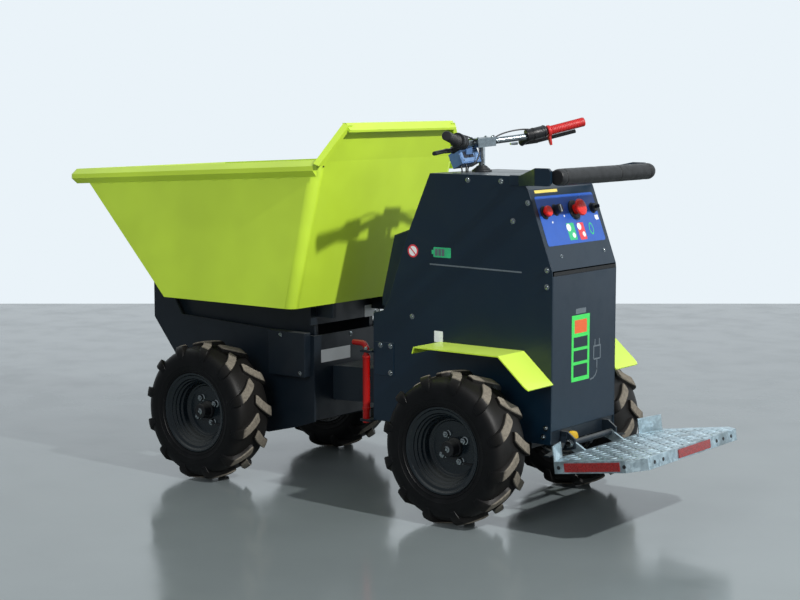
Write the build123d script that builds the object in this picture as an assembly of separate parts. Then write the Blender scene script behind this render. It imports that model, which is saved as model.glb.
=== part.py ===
"""Articulated electric site dumper: tipping skip, chassis in two halves, console and operator's step.

Millimetres. +X is the driving direction (skip end), +Y the left-hand side, +Z up. The origin is on the
ground, in the middle of the overall length. Every solid is exported as one STEP per named piece.
"""
import os
from math import atan2, cos, degrees, hypot, radians, sin, tan

from build123d import *

os.makedirs("parts", exist_ok=True)

# ---------------------------------------------------------------- main sizes
ground = 0.0
rear_axle_x = -600.0
front_axle_x = 510.0
wheel_centre_y = 363.0

tyre_dia = 500.0
lug_height = 19.0
tyre_width = 175.0
bead_dia = 254.0
rim_flange_dia = 287.0
rim_half_width = 77.0
hub_step = 32.0
stud_circle = 100.0
lug_pairs = 10

axle_z = tyre_dia / 2
stub_radius = 20.0
running_fit = 0.05
rest_gap = 0.3

sheet = 4.0
plate = 8.0
body_half = 200.0

pivot_x = -50.0
pivot_radius = 22.0
lug_radius = 55.0
tongue_low_z = 290.0
tongue_high_z = 415.0

skip_half = 396.0
skip_wall = 4.0
skip_floor_z = 654.0
skip_rear_x = 73.0
skip_nose_x = 697.0
skip_rim_front = (1136.0, 1113.0)
skip_rim_rear = (-17.0, 1172.0)
headboard_foot = (-51.0, 1166.0)
headboard_top = (-91.0, 1295.0)
headboard_half = 308.0
lip_out = 22.0
lip_deep = 56.0
lip_nose = 46.0
lip_tail = 25.0
lip_under = 20.0
slant_deep = 25.0
rear_corner = 36.0

ram_foot = (220.0, 320.0)
ram_eye = (648.0, 588.0)
ram_pin_radius = 12.0

tip_x = 905.0
tip_z = 640.0
tip_pin_radius = 15.0
side_box_deep = 34.0
rail_gap = 24.0
rail_wide = 20.0
fender_half = 350.0
fender_corner = 26.0
cable_radius = 2.5

column_x = -447.0
deck_z = 1131.0

lock_bar_x = -101.0
lock_bar_y = 202.0
lock_bar_radius = 13.0

step_hinge_x = -897.0
step_hinge_z = 262.0
step_pin_radius = 10.0
step_tilt = 8.25
step_half = 345.0
step_long = 334.0
step_set = 24.0
guard_in = 245.0
step_deep = 38.0

# The sizes above are laid off from a datum near the pivot. The part's origin is in the middle of the
# overall length, between the skip's front lip and the step's rear reflector, so every piece is moved by this.
reflector_thick = 3.0
step_reach = (step_long + reflector_thick) * cos(radians(step_tilt)) + 33.0 * sin(radians(step_tilt))
datum_x = -(skip_rim_front[0] + lip_nose + step_hinge_x - 48.0 - step_reach) / 2


# ---------------------------------------------------------------- helpers
def box(x0, x1, y0, y1, z0, z1):
    """A block between six named planes."""
    return Pos((x0 + x1) / 2, (y0 + y1) / 2, (z0 + z1) / 2) * Box(x1 - x0, y1 - y0, z1 - z0)


def prism_y(outline, y0, y1):
    """An (x, z) outline carried from y0 to y1."""
    face = make_face(Polyline(*outline, close=True))
    return extrude(Plane((0, y1, 0), x_dir=(1, 0, 0), z_dir=(0, -1, 0)) * face, y1 - y0)


def prism_x(outline, x0, x1):
    """A (y, z) outline carried from x0 to x1."""
    face = make_face(Polyline(*outline, close=True))
    return extrude(Plane((x0, 0, 0), x_dir=(0, 1, 0), z_dir=(1, 0, 0)) * face, x1 - x0)


def prism_z(outline, z0, z1):
    """An (x, y) outline carried from z0 to z1."""
    face = make_face(Polyline(*outline, close=True))
    return extrude(Plane.XY.offset(z0) * face, z1 - z0)


def rod(start, end, radius):
    """A round bar between two points."""
    line = Vector(*end) - Vector(*start)
    return extrude(Plane(start, z_dir=line) * Circle(radius), line.length)


def ring_y(x, z, y0, y1, outer, inner=0.0):
    """A disc or a sleeve whose axis runs along Y."""
    body = rod((x, y0, z), (x, y1, z), outer)
    if inner > 0:
        body = body - rod((x, y0 - 1, z), (x, y1 + 1, z), inner)
    return body


def ring_z(x, y, z0, z1, outer, inner=0.0):
    """A disc or a sleeve whose axis runs along Z."""
    body = rod((x, y, z0), (x, y, z1), outer)
    if inner > 0:
        body = body - rod((x, y, z0 - 1), (x, y, z1 + 1), inner)
    return body


def strip(path, thick):
    """An open (x, z) or (x, y) path thickened to one side (to the right of its direction)."""
    outer = []
    for i, (px, pz) in enumerate(path):
        dirs = []
        if i > 0:
            dirs.append((px - path[i - 1][0], pz - path[i - 1][1]))
        if i < len(path) - 1:
            dirs.append((path[i + 1][0] - px, path[i + 1][1] - pz))
        normals = []
        for dx, dz in dirs:
            run = hypot(dx, dz)
            normals.append((dz / run, -dx / run))
        nx = sum(n[0] for n in normals) / len(normals)
        nz = sum(n[1] for n in normals) / len(normals)
        square = nx * nx + nz * nz
        outer.append((px + nx * thick / square, pz + nz * thick / square))
    return list(path) + outer[::-1]


def both_sides(solid):
    """The solid and its mirror image on the other side of the machine."""
    return [solid, mirror(solid, Plane.XZ)]


def save(name, solids):
    """Write one piece, made of one or more solids, as one STEP."""
    flat = []
    for item in solids:
        flat.extend((Pos(datum_x, 0, 0) * item).solids())
    piece = Compound(children=flat) if len(flat) > 1 else flat[0]
    piece.label = name
    export_step(piece, "parts/" + name + ".step")


# ---------------------------------------------------------------- wheels
def revolve_wheel(profile):
    """A closed (y, radius) outline turned about the wheel's own axis, centred on the origin."""
    face = make_face(Polyline(*[(r, y) for y, r in profile], close=True))
    on_plane = Plane((0, 0, 0), x_dir=(0, 0, 1), z_dir=(-1, 0, 0)) * face
    return revolve(on_plane, Axis.Y)


def tyre_body():
    """Casing of the tyre: flat tread root, round shoulders, bulged sidewalls and beads."""
    half = tyre_width / 2
    root = tyre_dia / 2 - lug_height
    bead = bead_dia / 2
    lip = rim_flange_dia / 2 + 1
    seat = rim_half_width - 12
    right = [(seat, bead), (seat, lip), (half - 10, lip + 8), (half - 3, lip + 34), (half - 5, root - 24),
             (half - 14, root - 6), (half - 30, root)]
    left = [(-y, r) for y, r in right[::-1]]
    return revolve_wheel(right + left)


def lug(side):
    """One tread bar: from the middle of the tread out and back over the shoulder."""
    slant = 36.0
    wide = 23.0
    root = tyre_dia / 2 - lug_height
    out = tyre_width / 2
    long = (out - wide / 2 * sin(radians(slant))) / cos(radians(slant))

    def height(s):
        sweep_x = s * sin(radians(slant)) + wide / 2 * cos(radians(slant))
        return (tyre_dia / 2 - 0.4) ** 2 - sweep_x ** 2

    outline = [(4, root - 10), (4, height(4) ** 0.5 - 3), (10, height(10) ** 0.5), (36, height(36) ** 0.5),
               (long - 16, height(long - 16) ** 0.5), (long - 2, height(long) ** 0.5 - 14),
               (long, root - 20), (long - 8, root - 36), (long - 26, root - 12)]
    face = make_face(Polyline(*outline, close=True))
    bar = extrude(Plane((-wide / 2, 0, 0), x_dir=(0, 1, 0), z_dir=(1, 0, 0)) * face, wide)
    bar = Rot(0, 0, slant) * bar
    return bar if side > 0 else mirror(bar, Plane.XZ)


def tyre():
    """Tyre with alternating left and right lugs."""
    body = tyre_body()
    left = lug(1)
    right = lug(-1)
    bars = []
    for i in range(lug_pairs):
        turn = 360.0 * i / lug_pairs
        bars.append(Rot(0, turn, 0) * left)
        bars.append(Rot(0, turn + 180.0 / lug_pairs, 0) * right)
    return body.fuse(*bars)


def rim():
    """Steel rim: rolled flanges, barrel stepping inwards, and a flat disc; outboard side is +Y."""
    flange = rim_flange_dia / 2
    seat = bead_dia / 2
    half = rim_half_width
    profile = [
        (-half, flange), (-(half - 12), flange), (-(half - 12), seat), (half - 12, seat),
        (half - 12, flange), (half, flange), (half, flange - 5), (half - 6, seat - 5),
        (half - 18, seat - 8), (half - 22, seat - 15), (half - 36, seat - 18), (half - 40, seat - 27),
        (8, seat - 31), (4, seat - 38), (4, hub_step), (-4, hub_step), (-4, seat - 34), (4, seat - 24),
        (-(half - 5), seat - 8), (-half, flange - 5),
    ]
    return revolve_wheel(profile)


def hub():
    """Black hub: flange behind the disc, bearing barrel inboard, cap outboard; blind bore for the stub."""
    bore = stub_radius + running_fit
    profile = [
        (-70, bore), (-70, 40), (-14, 40), (-14, 64), (-4, 64), (-4, hub_step), (4, hub_step), (10, hub_step),
        (14, 28), (42, 26), (49, 18), (49, 0), (30, 0), (30, bore),
    ]
    body = revolve_wheel(profile)
    for i in range(4):
        turn = radians(57 + 90 * i)
        x = stud_circle / 2 * cos(turn)
        z = stud_circle / 2 * sin(turn)
        body += ring_y(x, z, -4, 20, 6)
    return body


def disc_holes():
    """Clearance holes of the disc for the studs."""
    cuts = []
    for i in range(4):
        turn = radians(57 + 90 * i)
        cuts.append(ring_y(stud_circle / 2 * cos(turn), stud_circle / 2 * sin(turn), -6, 6, 6))
    return cuts


tyre_shape = tyre()
rim_shape = rim().cut(*disc_holes())
hub_shape = hub()
for end, x in (("front", front_axle_x), ("rear", rear_axle_x)):
    for side, sign in (("left", 1), ("right", -1)):
        place = Pos(x, sign * wheel_centre_y, axle_z)
        outboard = place if sign > 0 else place * Rot(0, 0, 180)
        save("tyre_" + end + "_" + side, [place * tyre_shape])
        save("rim_" + end + "_" + side, [outboard * rim_shape])
        save("hub_" + end + "_" + side, [outboard * hub_shape])


def axle(x):
    """Beam axle: two tubes, a middle case, end flanges and the stubs the hubs turn on."""
    inner_end = wheel_centre_y - 70 - 6
    body = ring_y(x, axle_z, -inner_end, inner_end, 38)
    body += ring_y(x, axle_z, -62, 62, 50)
    body += box(x - 90, x + 40, -45, 45, axle_z - 45, axle_z + 45)
    for sign in (1, -1):
        body += ring_y(x, axle_z, min(sign * (inner_end - 14), sign * inner_end),
                       max(sign * (inner_end - 14), sign * inner_end), 52)
        tip = sign * (wheel_centre_y + 25)
        foot = sign * (inner_end - 5)
        body += ring_y(x, axle_z, min(foot, tip), max(foot, tip), stub_radius)
    return body


save("front_axle", [axle(front_axle_x)])
save("rear_axle", [axle(rear_axle_x)])

# ---------------------------------------------------------------- skip
tub_outline = [
    (skip_rear_x, skip_floor_z), (skip_nose_x, skip_floor_z), skip_rim_front, skip_rim_rear,
    headboard_foot,
]


def shifted(point, dx, dz):
    return (point[0] + dx, point[1] + dz)


def tub():
    """Open tub: flat sides, sloping nose plate, rear plate with rounded corners."""
    solid = prism_y(tub_outline, -skip_half, skip_half)
    rear_edges = [e for e in solid.edges() if abs(e.center().Z - (skip_floor_z + headboard_foot[1]) / 2) < 3
                  and e.center().X < 120 and e.length > 400]
    solid = fillet(rear_edges, rear_corner)
    lean = (headboard_foot[0] - skip_rear_x) / (headboard_foot[1] - skip_floor_z)
    slope = (skip_rim_front[0] - skip_nose_x) / (skip_rim_front[1] - skip_floor_z)
    low = skip_floor_z + skip_wall
    high = 1300.0
    wall_x = skip_wall * hypot(1, lean)
    nose_x = skip_wall * hypot(1, slope)
    hollow_outline = [
        (skip_rear_x + wall_x + lean * skip_wall, low),
        (skip_nose_x - nose_x + slope * skip_wall, low),
        (skip_nose_x - nose_x + slope * (high - skip_floor_z), high),
        (skip_rear_x + wall_x + lean * (high - skip_floor_z), high),
    ]
    hollow = prism_y(hollow_outline, -(skip_half - skip_wall), skip_half - skip_wall)
    inner_edges = [e for e in hollow.edges() if e.center().X < 120 and e.length > 400
                   and abs(e.center().Z - (low + high) / 2) < 3]
    hollow = fillet(inner_edges, rear_corner - skip_wall)
    return solid - hollow


headboard_run = (headboard_top[0] - headboard_foot[0], headboard_top[1] - headboard_foot[1])
headboard_tall = hypot(*headboard_run)
headboard_face = Plane((headboard_foot[0], 0, headboard_foot[1]), x_dir=(0, 1, 0),
                       z_dir=(headboard_run[1], 0, -headboard_run[0]))


def on_headboard(outline, low, high):
    """A (y, height) outline in the headboard's own plane, carried from low to high towards the load."""
    face = make_face(Polyline(*outline, close=True))
    return extrude(headboard_face.offset(low) * face, high - low)


def headboard():
    """Raised plate above the rear wall, narrower at its top, lapped onto the wall, with folded side edges."""
    wide = skip_half - skip_wall
    narrow = headboard_half - lip_out / 2
    plate_outline = [(-wide, 0), (wide, 0), (narrow, headboard_tall), (-narrow, headboard_tall)]
    board = on_headboard(plate_outline, 0, skip_wall)
    lean = (headboard_foot[0] - skip_rear_x) / (headboard_foot[1] - skip_floor_z)
    lap = shifted(headboard_foot, -60 * lean, -60)
    flat_half = skip_half - rear_corner
    board += prism_y(strip([lap, headboard_foot, shifted(headboard_foot, headboard_run[0] * 0.1,
                                                         headboard_run[1] * 0.1)], skip_wall),
                     -flat_half, flat_half)
    fold = [(skip_half - skip_wall, -6), (skip_half + lip_out, -6), (headboard_half, headboard_tall),
            (headboard_half - lip_out, headboard_tall)]
    folded = on_headboard(fold, -(slant_deep - skip_wall), skip_wall)
    return board + folded + mirror(folded, Plane.XZ)


def lips():
    """Folded lip round the rim, its underside slanting back to the wall, and the bar along the headboard."""
    front = skip_rim_front
    rear = skip_rim_rear
    fall = (rear[1] - front[1]) / (front[0] - rear[0])
    nose = front[0] + lip_nose
    tail = rear[0] - lip_tail
    slope = (front[0] - skip_nose_x) / (front[1] - skip_floor_z)
    low = front[1] - 2 * lip_deep
    high_z = headboard_top[1] + lip_deep
    ring = box(tail, nose, -(skip_half + lip_out), skip_half + lip_out, low, high_z)
    corner = [e for e in ring.edges() if e.center().X > nose - 1 and e.length > high_z - low - 1]
    ring = fillet(corner, 36)
    high = [(tail, rear[1] + (rear[0] - tail) * fall), (nose, rear[1] - (nose - rear[0]) * fall)]
    slab = prism_y(high + [shifted(high[1], 0, -lip_deep), shifted(high[0], 0, -lip_deep)],
                   -(skip_half + 2 * lip_out), skip_half + 2 * lip_out)
    ring = ring & slab
    under = [e for e in ring.faces().sort_by(Axis.Z)[0].edges() if e.center().X > tail + 1]
    ring = chamfer(under, lip_under)
    inside = prism_y([(tail - 10, low), shifted(front, slope * (low - front[1]), low - front[1]),
                      shifted(front, slope * (high_z - front[1]), high_z - front[1]),
                      (tail - 10, high_z)], -skip_half, skip_half)
    rim_lip = ring - inside
    top_bar = prism_y([shifted(headboard_top, 8, 2), shifted(headboard_top, -8, 2),
                       shifted(headboard_top, -26, -22), shifted(headboard_top, -24, -30),
                       shifted(headboard_top, 0, -12)], -headboard_half, headboard_half)
    return rim_lip + top_bar


save("skip_tub", [tub() + headboard() + lips()])


def carrier():
    """Steel carrier welded under the tub: two rails, a rear cross plate and the tipping ears."""
    slope = (skip_rim_front[0] - skip_nose_x) / (skip_rim_front[1] - skip_floor_z)
    top = skip_floor_z
    outer = body_half - plate - rail_gap
    inner = outer - rail_wide
    parts = box(156, 166, -body_half, body_half, 571, top)
    parts += box(skip_rear_x + 8, 156, inner, outer, 600, top)
    parts += box(skip_rear_x + 8, 156, -outer, -inner, 600, top)
    ear = [(166, top), (166, 530), (tip_x - 48, 530), (tip_x - 34, tip_z - 30), (tip_x, tip_z - 38),
           (tip_x + 34, tip_z - 20), (tip_x + 38, tip_z), (tip_x + 30, top + (tip_x + 30 - skip_nose_x) / slope),
           (skip_nose_x, top)]
    for low, high in ((inner, outer), (-outer, -inner)):
        parts += prism_y(ear, low, high)
    for x in (330, ram_eye[0] - 62):
        parts += box(x, x + 36, -inner, inner, top - 18, top)
    for y in (-32.0, 18.0):
        parts += box(ram_eye[0] - 50, ram_eye[0] + 20, y, y + 14, ram_eye[1] - 24, top)
    for y in (-40, 32):
        parts += ring_y(ram_eye[0], ram_eye[1], y, y + 8, 18)
    parts -= ring_y(tip_x, tip_z, -200, 200, tip_pin_radius + running_fit)
    return parts


save("skip_carrier", [carrier()])

# ---------------------------------------------------------------- front chassis
nose_outline = [
    (141, 222), (225, 194), (362, 160), (660, 160), (760, 270), (841, 412), (949, 543), (949, 684),
    (880, 684), (800, 562), (141, 534),
]


def front_frame():
    """Front half: two side plates with raised nose, rear plate, floor, cross plates and the tongue."""
    parts = None
    for sign in (1, -1):
        y0 = sign * (body_half - plate)
        y1 = sign * body_half
        side = prism_y(nose_outline, min(y0, y1), max(y0, y1))
        parts = side if parts is None else parts + side
    inner = body_half - plate
    parts += box(141, 149, -inner, inner, 226, 534)
    parts += box(149, 415, -inner, inner, 226, 234)
    parts += box(590, 660, -inner, inner, 196, 204)
    parts += box(760, 768, -inner, inner, 330, 500)
    parts += box(430, 590, -inner, inner, axle_z + 50, axle_z + 58)
    parts += prism_z([(pivot_x, -lug_radius), (149, -95), (149, 95), (pivot_x, lug_radius)],
                     tongue_low_z, tongue_high_z)
    parts += ring_z(pivot_x, 0, tongue_low_z, tongue_high_z, lug_radius)
    parts -= ring_z(pivot_x, 0, tongue_low_z - 1, tongue_high_z + 1, pivot_radius + running_fit)
    for y in (-34, 18):
        parts += box(ram_foot[0] - 24, ram_foot[0] + 24, y, y + 16, 234, ram_foot[1] + 26)
    parts -= ring_y(ram_foot[0], ram_foot[1], -60, 60, ram_pin_radius)
    boss = ring_y(tip_x, tip_z, -body_half, -(body_half - plate - 14), 34)
    parts += boss + mirror(boss, Plane.XZ)
    parts -= ring_y(tip_x, tip_z, -body_half - 1, body_half + 1, tip_pin_radius)
    parts -= ring_y(front_axle_x, axle_z, -body_half - 1, body_half + 1, 38)
    return parts


save("front_frame", [front_frame()])
save("side_boxes", both_sides(box(158, 330, body_half, body_half + side_box_deep, 385, 545)))
save("front_pins", [ring_y(tip_x, tip_z, -body_half - 6, body_half + 6, tip_pin_radius),
                    ring_y(ram_foot[0], ram_foot[1], -38, 38, ram_pin_radius)])

# tipping ram: barrel on the front half, rod reaching for the carrier
ram_run = (ram_eye[0] - ram_foot[0], ram_eye[1] - ram_foot[1])
ram_long = hypot(*ram_run)
ram_rod_radius = 17.0


def on_ram(distance):
    """A point on the ram's axis, measured from the foot pin."""
    return (ram_foot[0] + ram_run[0] * distance / ram_long, 0, ram_foot[1] + ram_run[1] * distance / ram_long)


def barrel():
    """Closed tube with a foot eye and an open front gland."""
    body = rod(on_ram(52), on_ram(ram_long - 70), 32)
    body += rod(on_ram(10), on_ram(60), 15)
    body += ring_y(ram_foot[0], ram_foot[1], -16, 16, 24)
    body -= rod(on_ram(70), on_ram(ram_long - 60), ram_rod_radius + running_fit)
    return body - ring_y(ram_foot[0], ram_foot[1], -17, 17, ram_pin_radius + running_fit)


def ram_rod():
    """Rod with its eye."""
    body = rod(on_ram(75), on_ram(ram_long - 44), ram_rod_radius)
    body += rod(on_ram(ram_long - 46), on_ram(ram_long - 10), 12)
    body += ring_y(ram_eye[0], ram_eye[1], -13, 13, 21)
    return body - ring_y(ram_eye[0], ram_eye[1], -14, 14, ram_pin_radius + 1)


save("ram_barrel", [barrel()])
save("ram_rod", [ram_rod()])

# ---------------------------------------------------------------- rear chassis
side_outline = [
    (-737, deck_z), (-768, 1088), (-863, 828), (-865, 810), (-865, 262), (-660, 262), (-660, 292),
    (-540, 292), (-540, 262), (-130, 262), (-130, 640), (-173, 652), (-195, 689), (-278, 918),
    (-373, deck_z),
]
save("side_panels", both_sides(prism_y(side_outline, body_half - sheet, body_half)))

inner_half = body_half - sheet


def rear_frame():
    """Rear half: floor, bulkhead, pivot lugs, axle pads, hinge cheeks of the step, lock bar brackets."""
    parts = box(-861, -136, -inner_half, inner_half, 300, 306)
    parts += box(-136, -130, -inner_half, inner_half, 262, 636)
    parts += box(-861, -855, -inner_half, inner_half, 262, 300)
    for low, high in ((tongue_low_z - rest_gap - 20, tongue_low_z - rest_gap),
                      (tongue_high_z + rest_gap, tongue_high_z + rest_gap + 20)):
        parts += prism_z([(pivot_x, -lug_radius), (-136, -100), (-136, 100), (pivot_x, lug_radius)], low, high)
        parts += ring_z(pivot_x, 0, low, high, lug_radius)
    parts -= ring_z(pivot_x, 0, 250, 520, pivot_radius)
    parts += box(rear_axle_x - 50, rear_axle_x + 50, -130, -90, axle_z + 30, 300)
    parts += box(rear_axle_x - 50, rear_axle_x + 50, 90, 130, axle_z + 30, 300)
    parts -= ring_y(rear_axle_x, axle_z, -200, 200, 38)
    parts -= ring_y(rear_axle_x, axle_z, -70, 70, 50)
    cheek = [(-855, 300), (-855, 236), (-880, 236), (step_hinge_x - 18, 246), (step_hinge_x - 18, 278),
             (-885, 300)]
    for y in (-134, 126):
        parts += prism_y(cheek, y, y + 8)
    parts -= ring_y(step_hinge_x, step_hinge_z, -200, 200, step_pin_radius)
    for z0 in (256, 500):
        parts += box(-130, -84, 176, lock_bar_y + 16, z0, z0 + 8)
    parts -= rod((lock_bar_x, lock_bar_y, 240), (lock_bar_x, lock_bar_y, 540), lock_bar_radius)
    parts += rod((-861, -21, 250), (-884, -21, 250), 12)
    return parts


def flare():
    """Curved guard beside each hinge cheek, sweeping out to the tyre."""
    edge = [(134, 300), (134, 283), (142, 262), (154, 249), (172, 240), (240, 232), (240, 236),
            (174, 245), (158, 253), (147, 264), (139, 284), (139, 300)]
    return prism_x(edge, -885, -865)


save("rear_frame", [rear_frame()])
save("rear_pins", [ring_z(pivot_x, 0, tongue_low_z - 36, tongue_high_z + 36, pivot_radius),
                   ring_y(step_hinge_x, step_hinge_z, -140, 140, step_pin_radius)])
save("hinge_flares", both_sides(flare()))
save("step_buffer", [rod((-861, 72, 264), (-874, 72, 264), 27)])


def skin(path, thick, half):
    return prism_y(strip(path, thick), -half, half)


deck = skin([(-737, deck_z), (-373, deck_z), (-278, 918), (-195, 689), (-173, 652), (-136, 641)],
            sheet, inner_half)
save("console_cover", [deck - ring_z(column_x, 0, deck_z - 20, deck_z + 20, 14)])
cowl_outline = [(-286.9, 938), (-252, 934), (-183, 910), (-129, 694), (-129, 660), (-173, 652), (-195, 689),
                (-278, 918)]
save("front_cowl", [prism_y(cowl_outline, -150, 150)])
save("control_panel", [skin([(-863, 828), (-768, 1088), (-740.6, 1126)], sheet, inner_half)])
save("rear_cover", [box(-865, -861, -inner_half, inner_half, 305, 812)])
save("battery_pack", [box(-840, -440, -160, 160, 306, 760)])


def fender():
    """Guard over a rear wheel: a turned-down front edge, a flat top and a flap whose outer corner is round."""
    path = [(-415, 540), (-421, 559), (-756, 559), (-870, 460)]
    guard = prism_y(strip(path, sheet), body_half, fender_half)
    outline = prism_z([(-900, body_half), (-400, body_half), (-400, fender_half), (-900 + 27, fender_half)],
                      440, 580)
    corner = [e for e in outline.edges() if e.length > 139 and e.center().X < -870 and e.center().Y > body_half + 1]
    return guard & fillet(corner, fender_corner)


save("fenders", both_sides(fender()))
save("side_covers", both_sides(box(-221, -138, body_half, body_half + 3, 424, 541)))

# red lock bar
hook_path = FilletPolyline((lock_bar_x, lock_bar_y, 480), (lock_bar_x, lock_bar_y, 530),
                           (lock_bar_x + 58, lock_bar_y, 530), radius=22)
bar = rod((lock_bar_x, lock_bar_y, 250), (lock_bar_x, lock_bar_y, 490), lock_bar_radius)
bar += sweep(Plane(hook_path @ 0, z_dir=hook_path % 0) * Circle(10), path=hook_path)
for band_z in (296, 478):
    bar += ring_z(lock_bar_x, lock_bar_y, band_z, band_z + 8, lock_bar_radius + 2)
save("lock_bar", [bar])

# ---------------------------------------------------------------- back pad
pad_x = -934.0
pad_z = 1136.0
pad_radius = 28.0
pad_half = 294.0
arm_bend_x = -863.0
arm_end_x = pad_x + pad_radius / 2
arm_top = pad_z + pad_radius
arm_low = pad_z - pad_radius
arm_path = [(-700, body_half), (-737, body_half), (arm_bend_x, pad_half + 6), (arm_end_x, pad_half + 6)]
arm_side = [(-700, 1100), (-700, 1134), (-745, 1134), (arm_bend_x, arm_top), (arm_end_x + 8, arm_top),
            (arm_end_x, arm_top - 8), (arm_end_x, arm_low + 8), (arm_end_x + 8, arm_low), (arm_bend_x, arm_low),
            (-745, 1100)]
end_plate = [(arm_bend_x - 2, arm_low), (arm_bend_x - 2, arm_top), (arm_end_x + 8, arm_top),
             (arm_end_x, arm_top - 8), (arm_end_x, arm_low + 8), (arm_end_x + 8, arm_low)]
arm = prism_z(strip(arm_path, 6), arm_low - 20, arm_top + 20) & prism_y(arm_side, body_half - 10, pad_half + 20)
arm += prism_y(end_plate, pad_half, pad_half + 12)
save("pad_arms", both_sides(arm))
save("back_pad", [ring_y(pad_x, pad_z, rest_gap - pad_half, pad_half - rest_gap, pad_radius)])

# ---------------------------------------------------------------- controls on the panel
panel_foot = (-863.0, 828.0)
panel_head = (-768.0, 1088.0)
panel_lean = degrees(atan2(panel_head[0] - panel_foot[0], panel_head[1] - panel_foot[1]))


def on_panel(share, y, height):
    """A frame on the sloping panel: share 0 at its foot, 1 at its head; its Z leaves the panel."""
    x = panel_foot[0] + share * (panel_head[0] - panel_foot[0])
    z = panel_foot[1] + share * (panel_head[1] - panel_foot[1])
    face = Plane((x, y, z), x_dir=(0, -1, 0), z_dir=(-cos(radians(panel_lean)), 0, sin(radians(panel_lean))))
    return face.offset(height)


def turned(share, y, low, high, radius):
    """A round knob section standing on the panel."""
    return extrude(on_panel(share, y, low) * Circle(radius), high - low)


red_knobs = [
    turned(0.71, -34, 0, 22, 18) + turned(0.71, -34, 22, 36, 29),
    turned(0.71, 146, 0, 12, 12) + turned(0.71, 146, 12, 24, 19),
]
black_knobs = [
    turned(0.73, 77, 0, 26, 16),
    turned(0.71, -152, 0, 14, 15) + turned(0.71, -152, 14, 30, 6),
]
save("stop_knobs", red_knobs)
save("rotary_switches", black_knobs)

# ---------------------------------------------------------------- steering
column_radius = 11.0
boot_tall = 22.0
boot_radius = 35.0
boot = ring_z(column_x, 0, deck_z, deck_z + boot_tall / 2, boot_radius, column_radius + running_fit)
boot += ring_z(column_x, 0, deck_z + boot_tall / 2, deck_z + boot_tall, boot_radius - 12,
               column_radius + running_fit)
save("steering_boot", [boot])
bar_turn = -7.0
bar_tilt = -3.0
bar_radius = 11.0
clamp_z = 1231.0
turned_bar = Pos(column_x, 0, 0) * Rot(0, 0, bar_turn)
tilted = Pos(0, 0, clamp_z) * Rot(bar_tilt, 0, 0) * Pos(0, 0, -clamp_z)
steer = turned_bar * tilted
grip_start = (-96.0, -232.0, 1254.0)
grip_end = (-160.0, -345.0, 1279.0)


def other_side(point):
    return (point[0], -point[1], point[2])


def between(start, end, share):
    return tuple(a + (b - a) * share for a, b in zip(start, end))


bar_path = FilletPolyline(grip_end, (-60, -168, 1240), (0, -60, clamp_z), (0, 60, clamp_z), (-60, 168, 1240),
                          other_side(grip_end), radius=40)
tube = sweep(Plane(bar_path @ 0, z_dir=bar_path % 0) * Circle(bar_radius), path=bar_path)
clamp = box(-24, 24, -45, 45, clamp_z - 15, clamp_z + 15)
save("handlebar", [steer * (clamp + tube)])
column = ring_z(column_x, 0, deck_z - 60, clamp_z - 10, column_radius)
save("steering_column", [column - steer * clamp])


def grip():
    """Rubber grip with an inner collar, on the right end of the bar."""
    outer = rod(between(grip_start, grip_end, 0.02), between(grip_start, grip_end, 1.06), 16)
    outer += rod(between(grip_start, grip_end, 0.0), between(grip_start, grip_end, 0.1), 20)
    return outer - tube


right_grip = grip()
save("grip_right", [steer * right_grip])
save("grip_left", [steer * mirror(right_grip, Plane.XZ)])


def lever(block_radius, blade_tip):
    """Switch block round the bar, lever perch ahead of and below it, and a blade reaching along the grip."""
    block = rod((-58, -164, 1243), (-92, -225, 1256), block_radius)
    perch = rod((-64, -172, 1238), (-24, -176, 1216), 12)
    blade = rod((-24, -176, 1216), (-48, -234, 1220), 8)
    blade += rod((-48, -234, 1220), blade_tip, 7)
    return block + perch + blade - tube


right_lever = lever(20, (-118, -358, 1247))
left_lever = mirror(lever(24, (-108, -352, 1222)), Plane.XZ)
save("hand_levers", [steer * right_lever, steer * left_lever])
display = Pos(23, 64, 1181) * Rot(0, 25, 0) * Box(48, 96, 52)
display += box(0, 14, 50, 80, 1195, 1226)
save("display_box", [steer * (display - tube)])


def cable(points):
    """A held lead: straight runs joined by arcs as large as the runs allow."""
    radii = []
    for before, corner, after in zip(points, points[1:], points[2:]):
        back = Vector(*before) - Vector(*corner)
        ahead = Vector(*after) - Vector(*corner)
        half_angle = radians(back.get_angle(ahead)) / 2
        radii.append(0.45 * min(back.length, ahead.length) * tan(half_angle))
    path = FilletPolyline(*points, radius=radii)
    return sweep(Plane(path @ 0, z_dir=path % 0) * Circle(cable_radius), path=path)


held = clamp + display + right_lever + left_lever
deck_top = deck_z + rest_gap
switch_points = [(-74, -190, 1262), (-52, -158, 1266), (-28, -118, 1262), (-14, -74, 1252), (-10, -40, 1238)]
switch_lead = cable(switch_points)
level_leads = [
    cable([(-16, 34, 1224), (-24, 38, 1190), (-24, 62, 1160), (-10, 82, 1150), (-10, 82, deck_top)]),
    cable([(14, 100, 1166), (8, 98, 1152), (4, 96, 1142), (4, 96, deck_top)]),
    cable([(4, 74, 1174), (-2, 80, 1158), (-4, 84, 1144), (-4, 84, deck_top)]),
]
leads = [steer * (switch_lead - held), steer * (mirror(switch_lead, Plane.XZ) - held)]
leads += [turned_bar * (lead - tilted * held) for lead in level_leads]
save("control_cables", leads)


# ---------------------------------------------------------------- step
def step_place(solid):
    """Tilt a solid drawn with the deck flat and its front edge at the origin."""
    return Pos(step_hinge_x - 48, 0, step_hinge_z - 19) * Rot(0, step_tilt, 0) * solid


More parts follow.
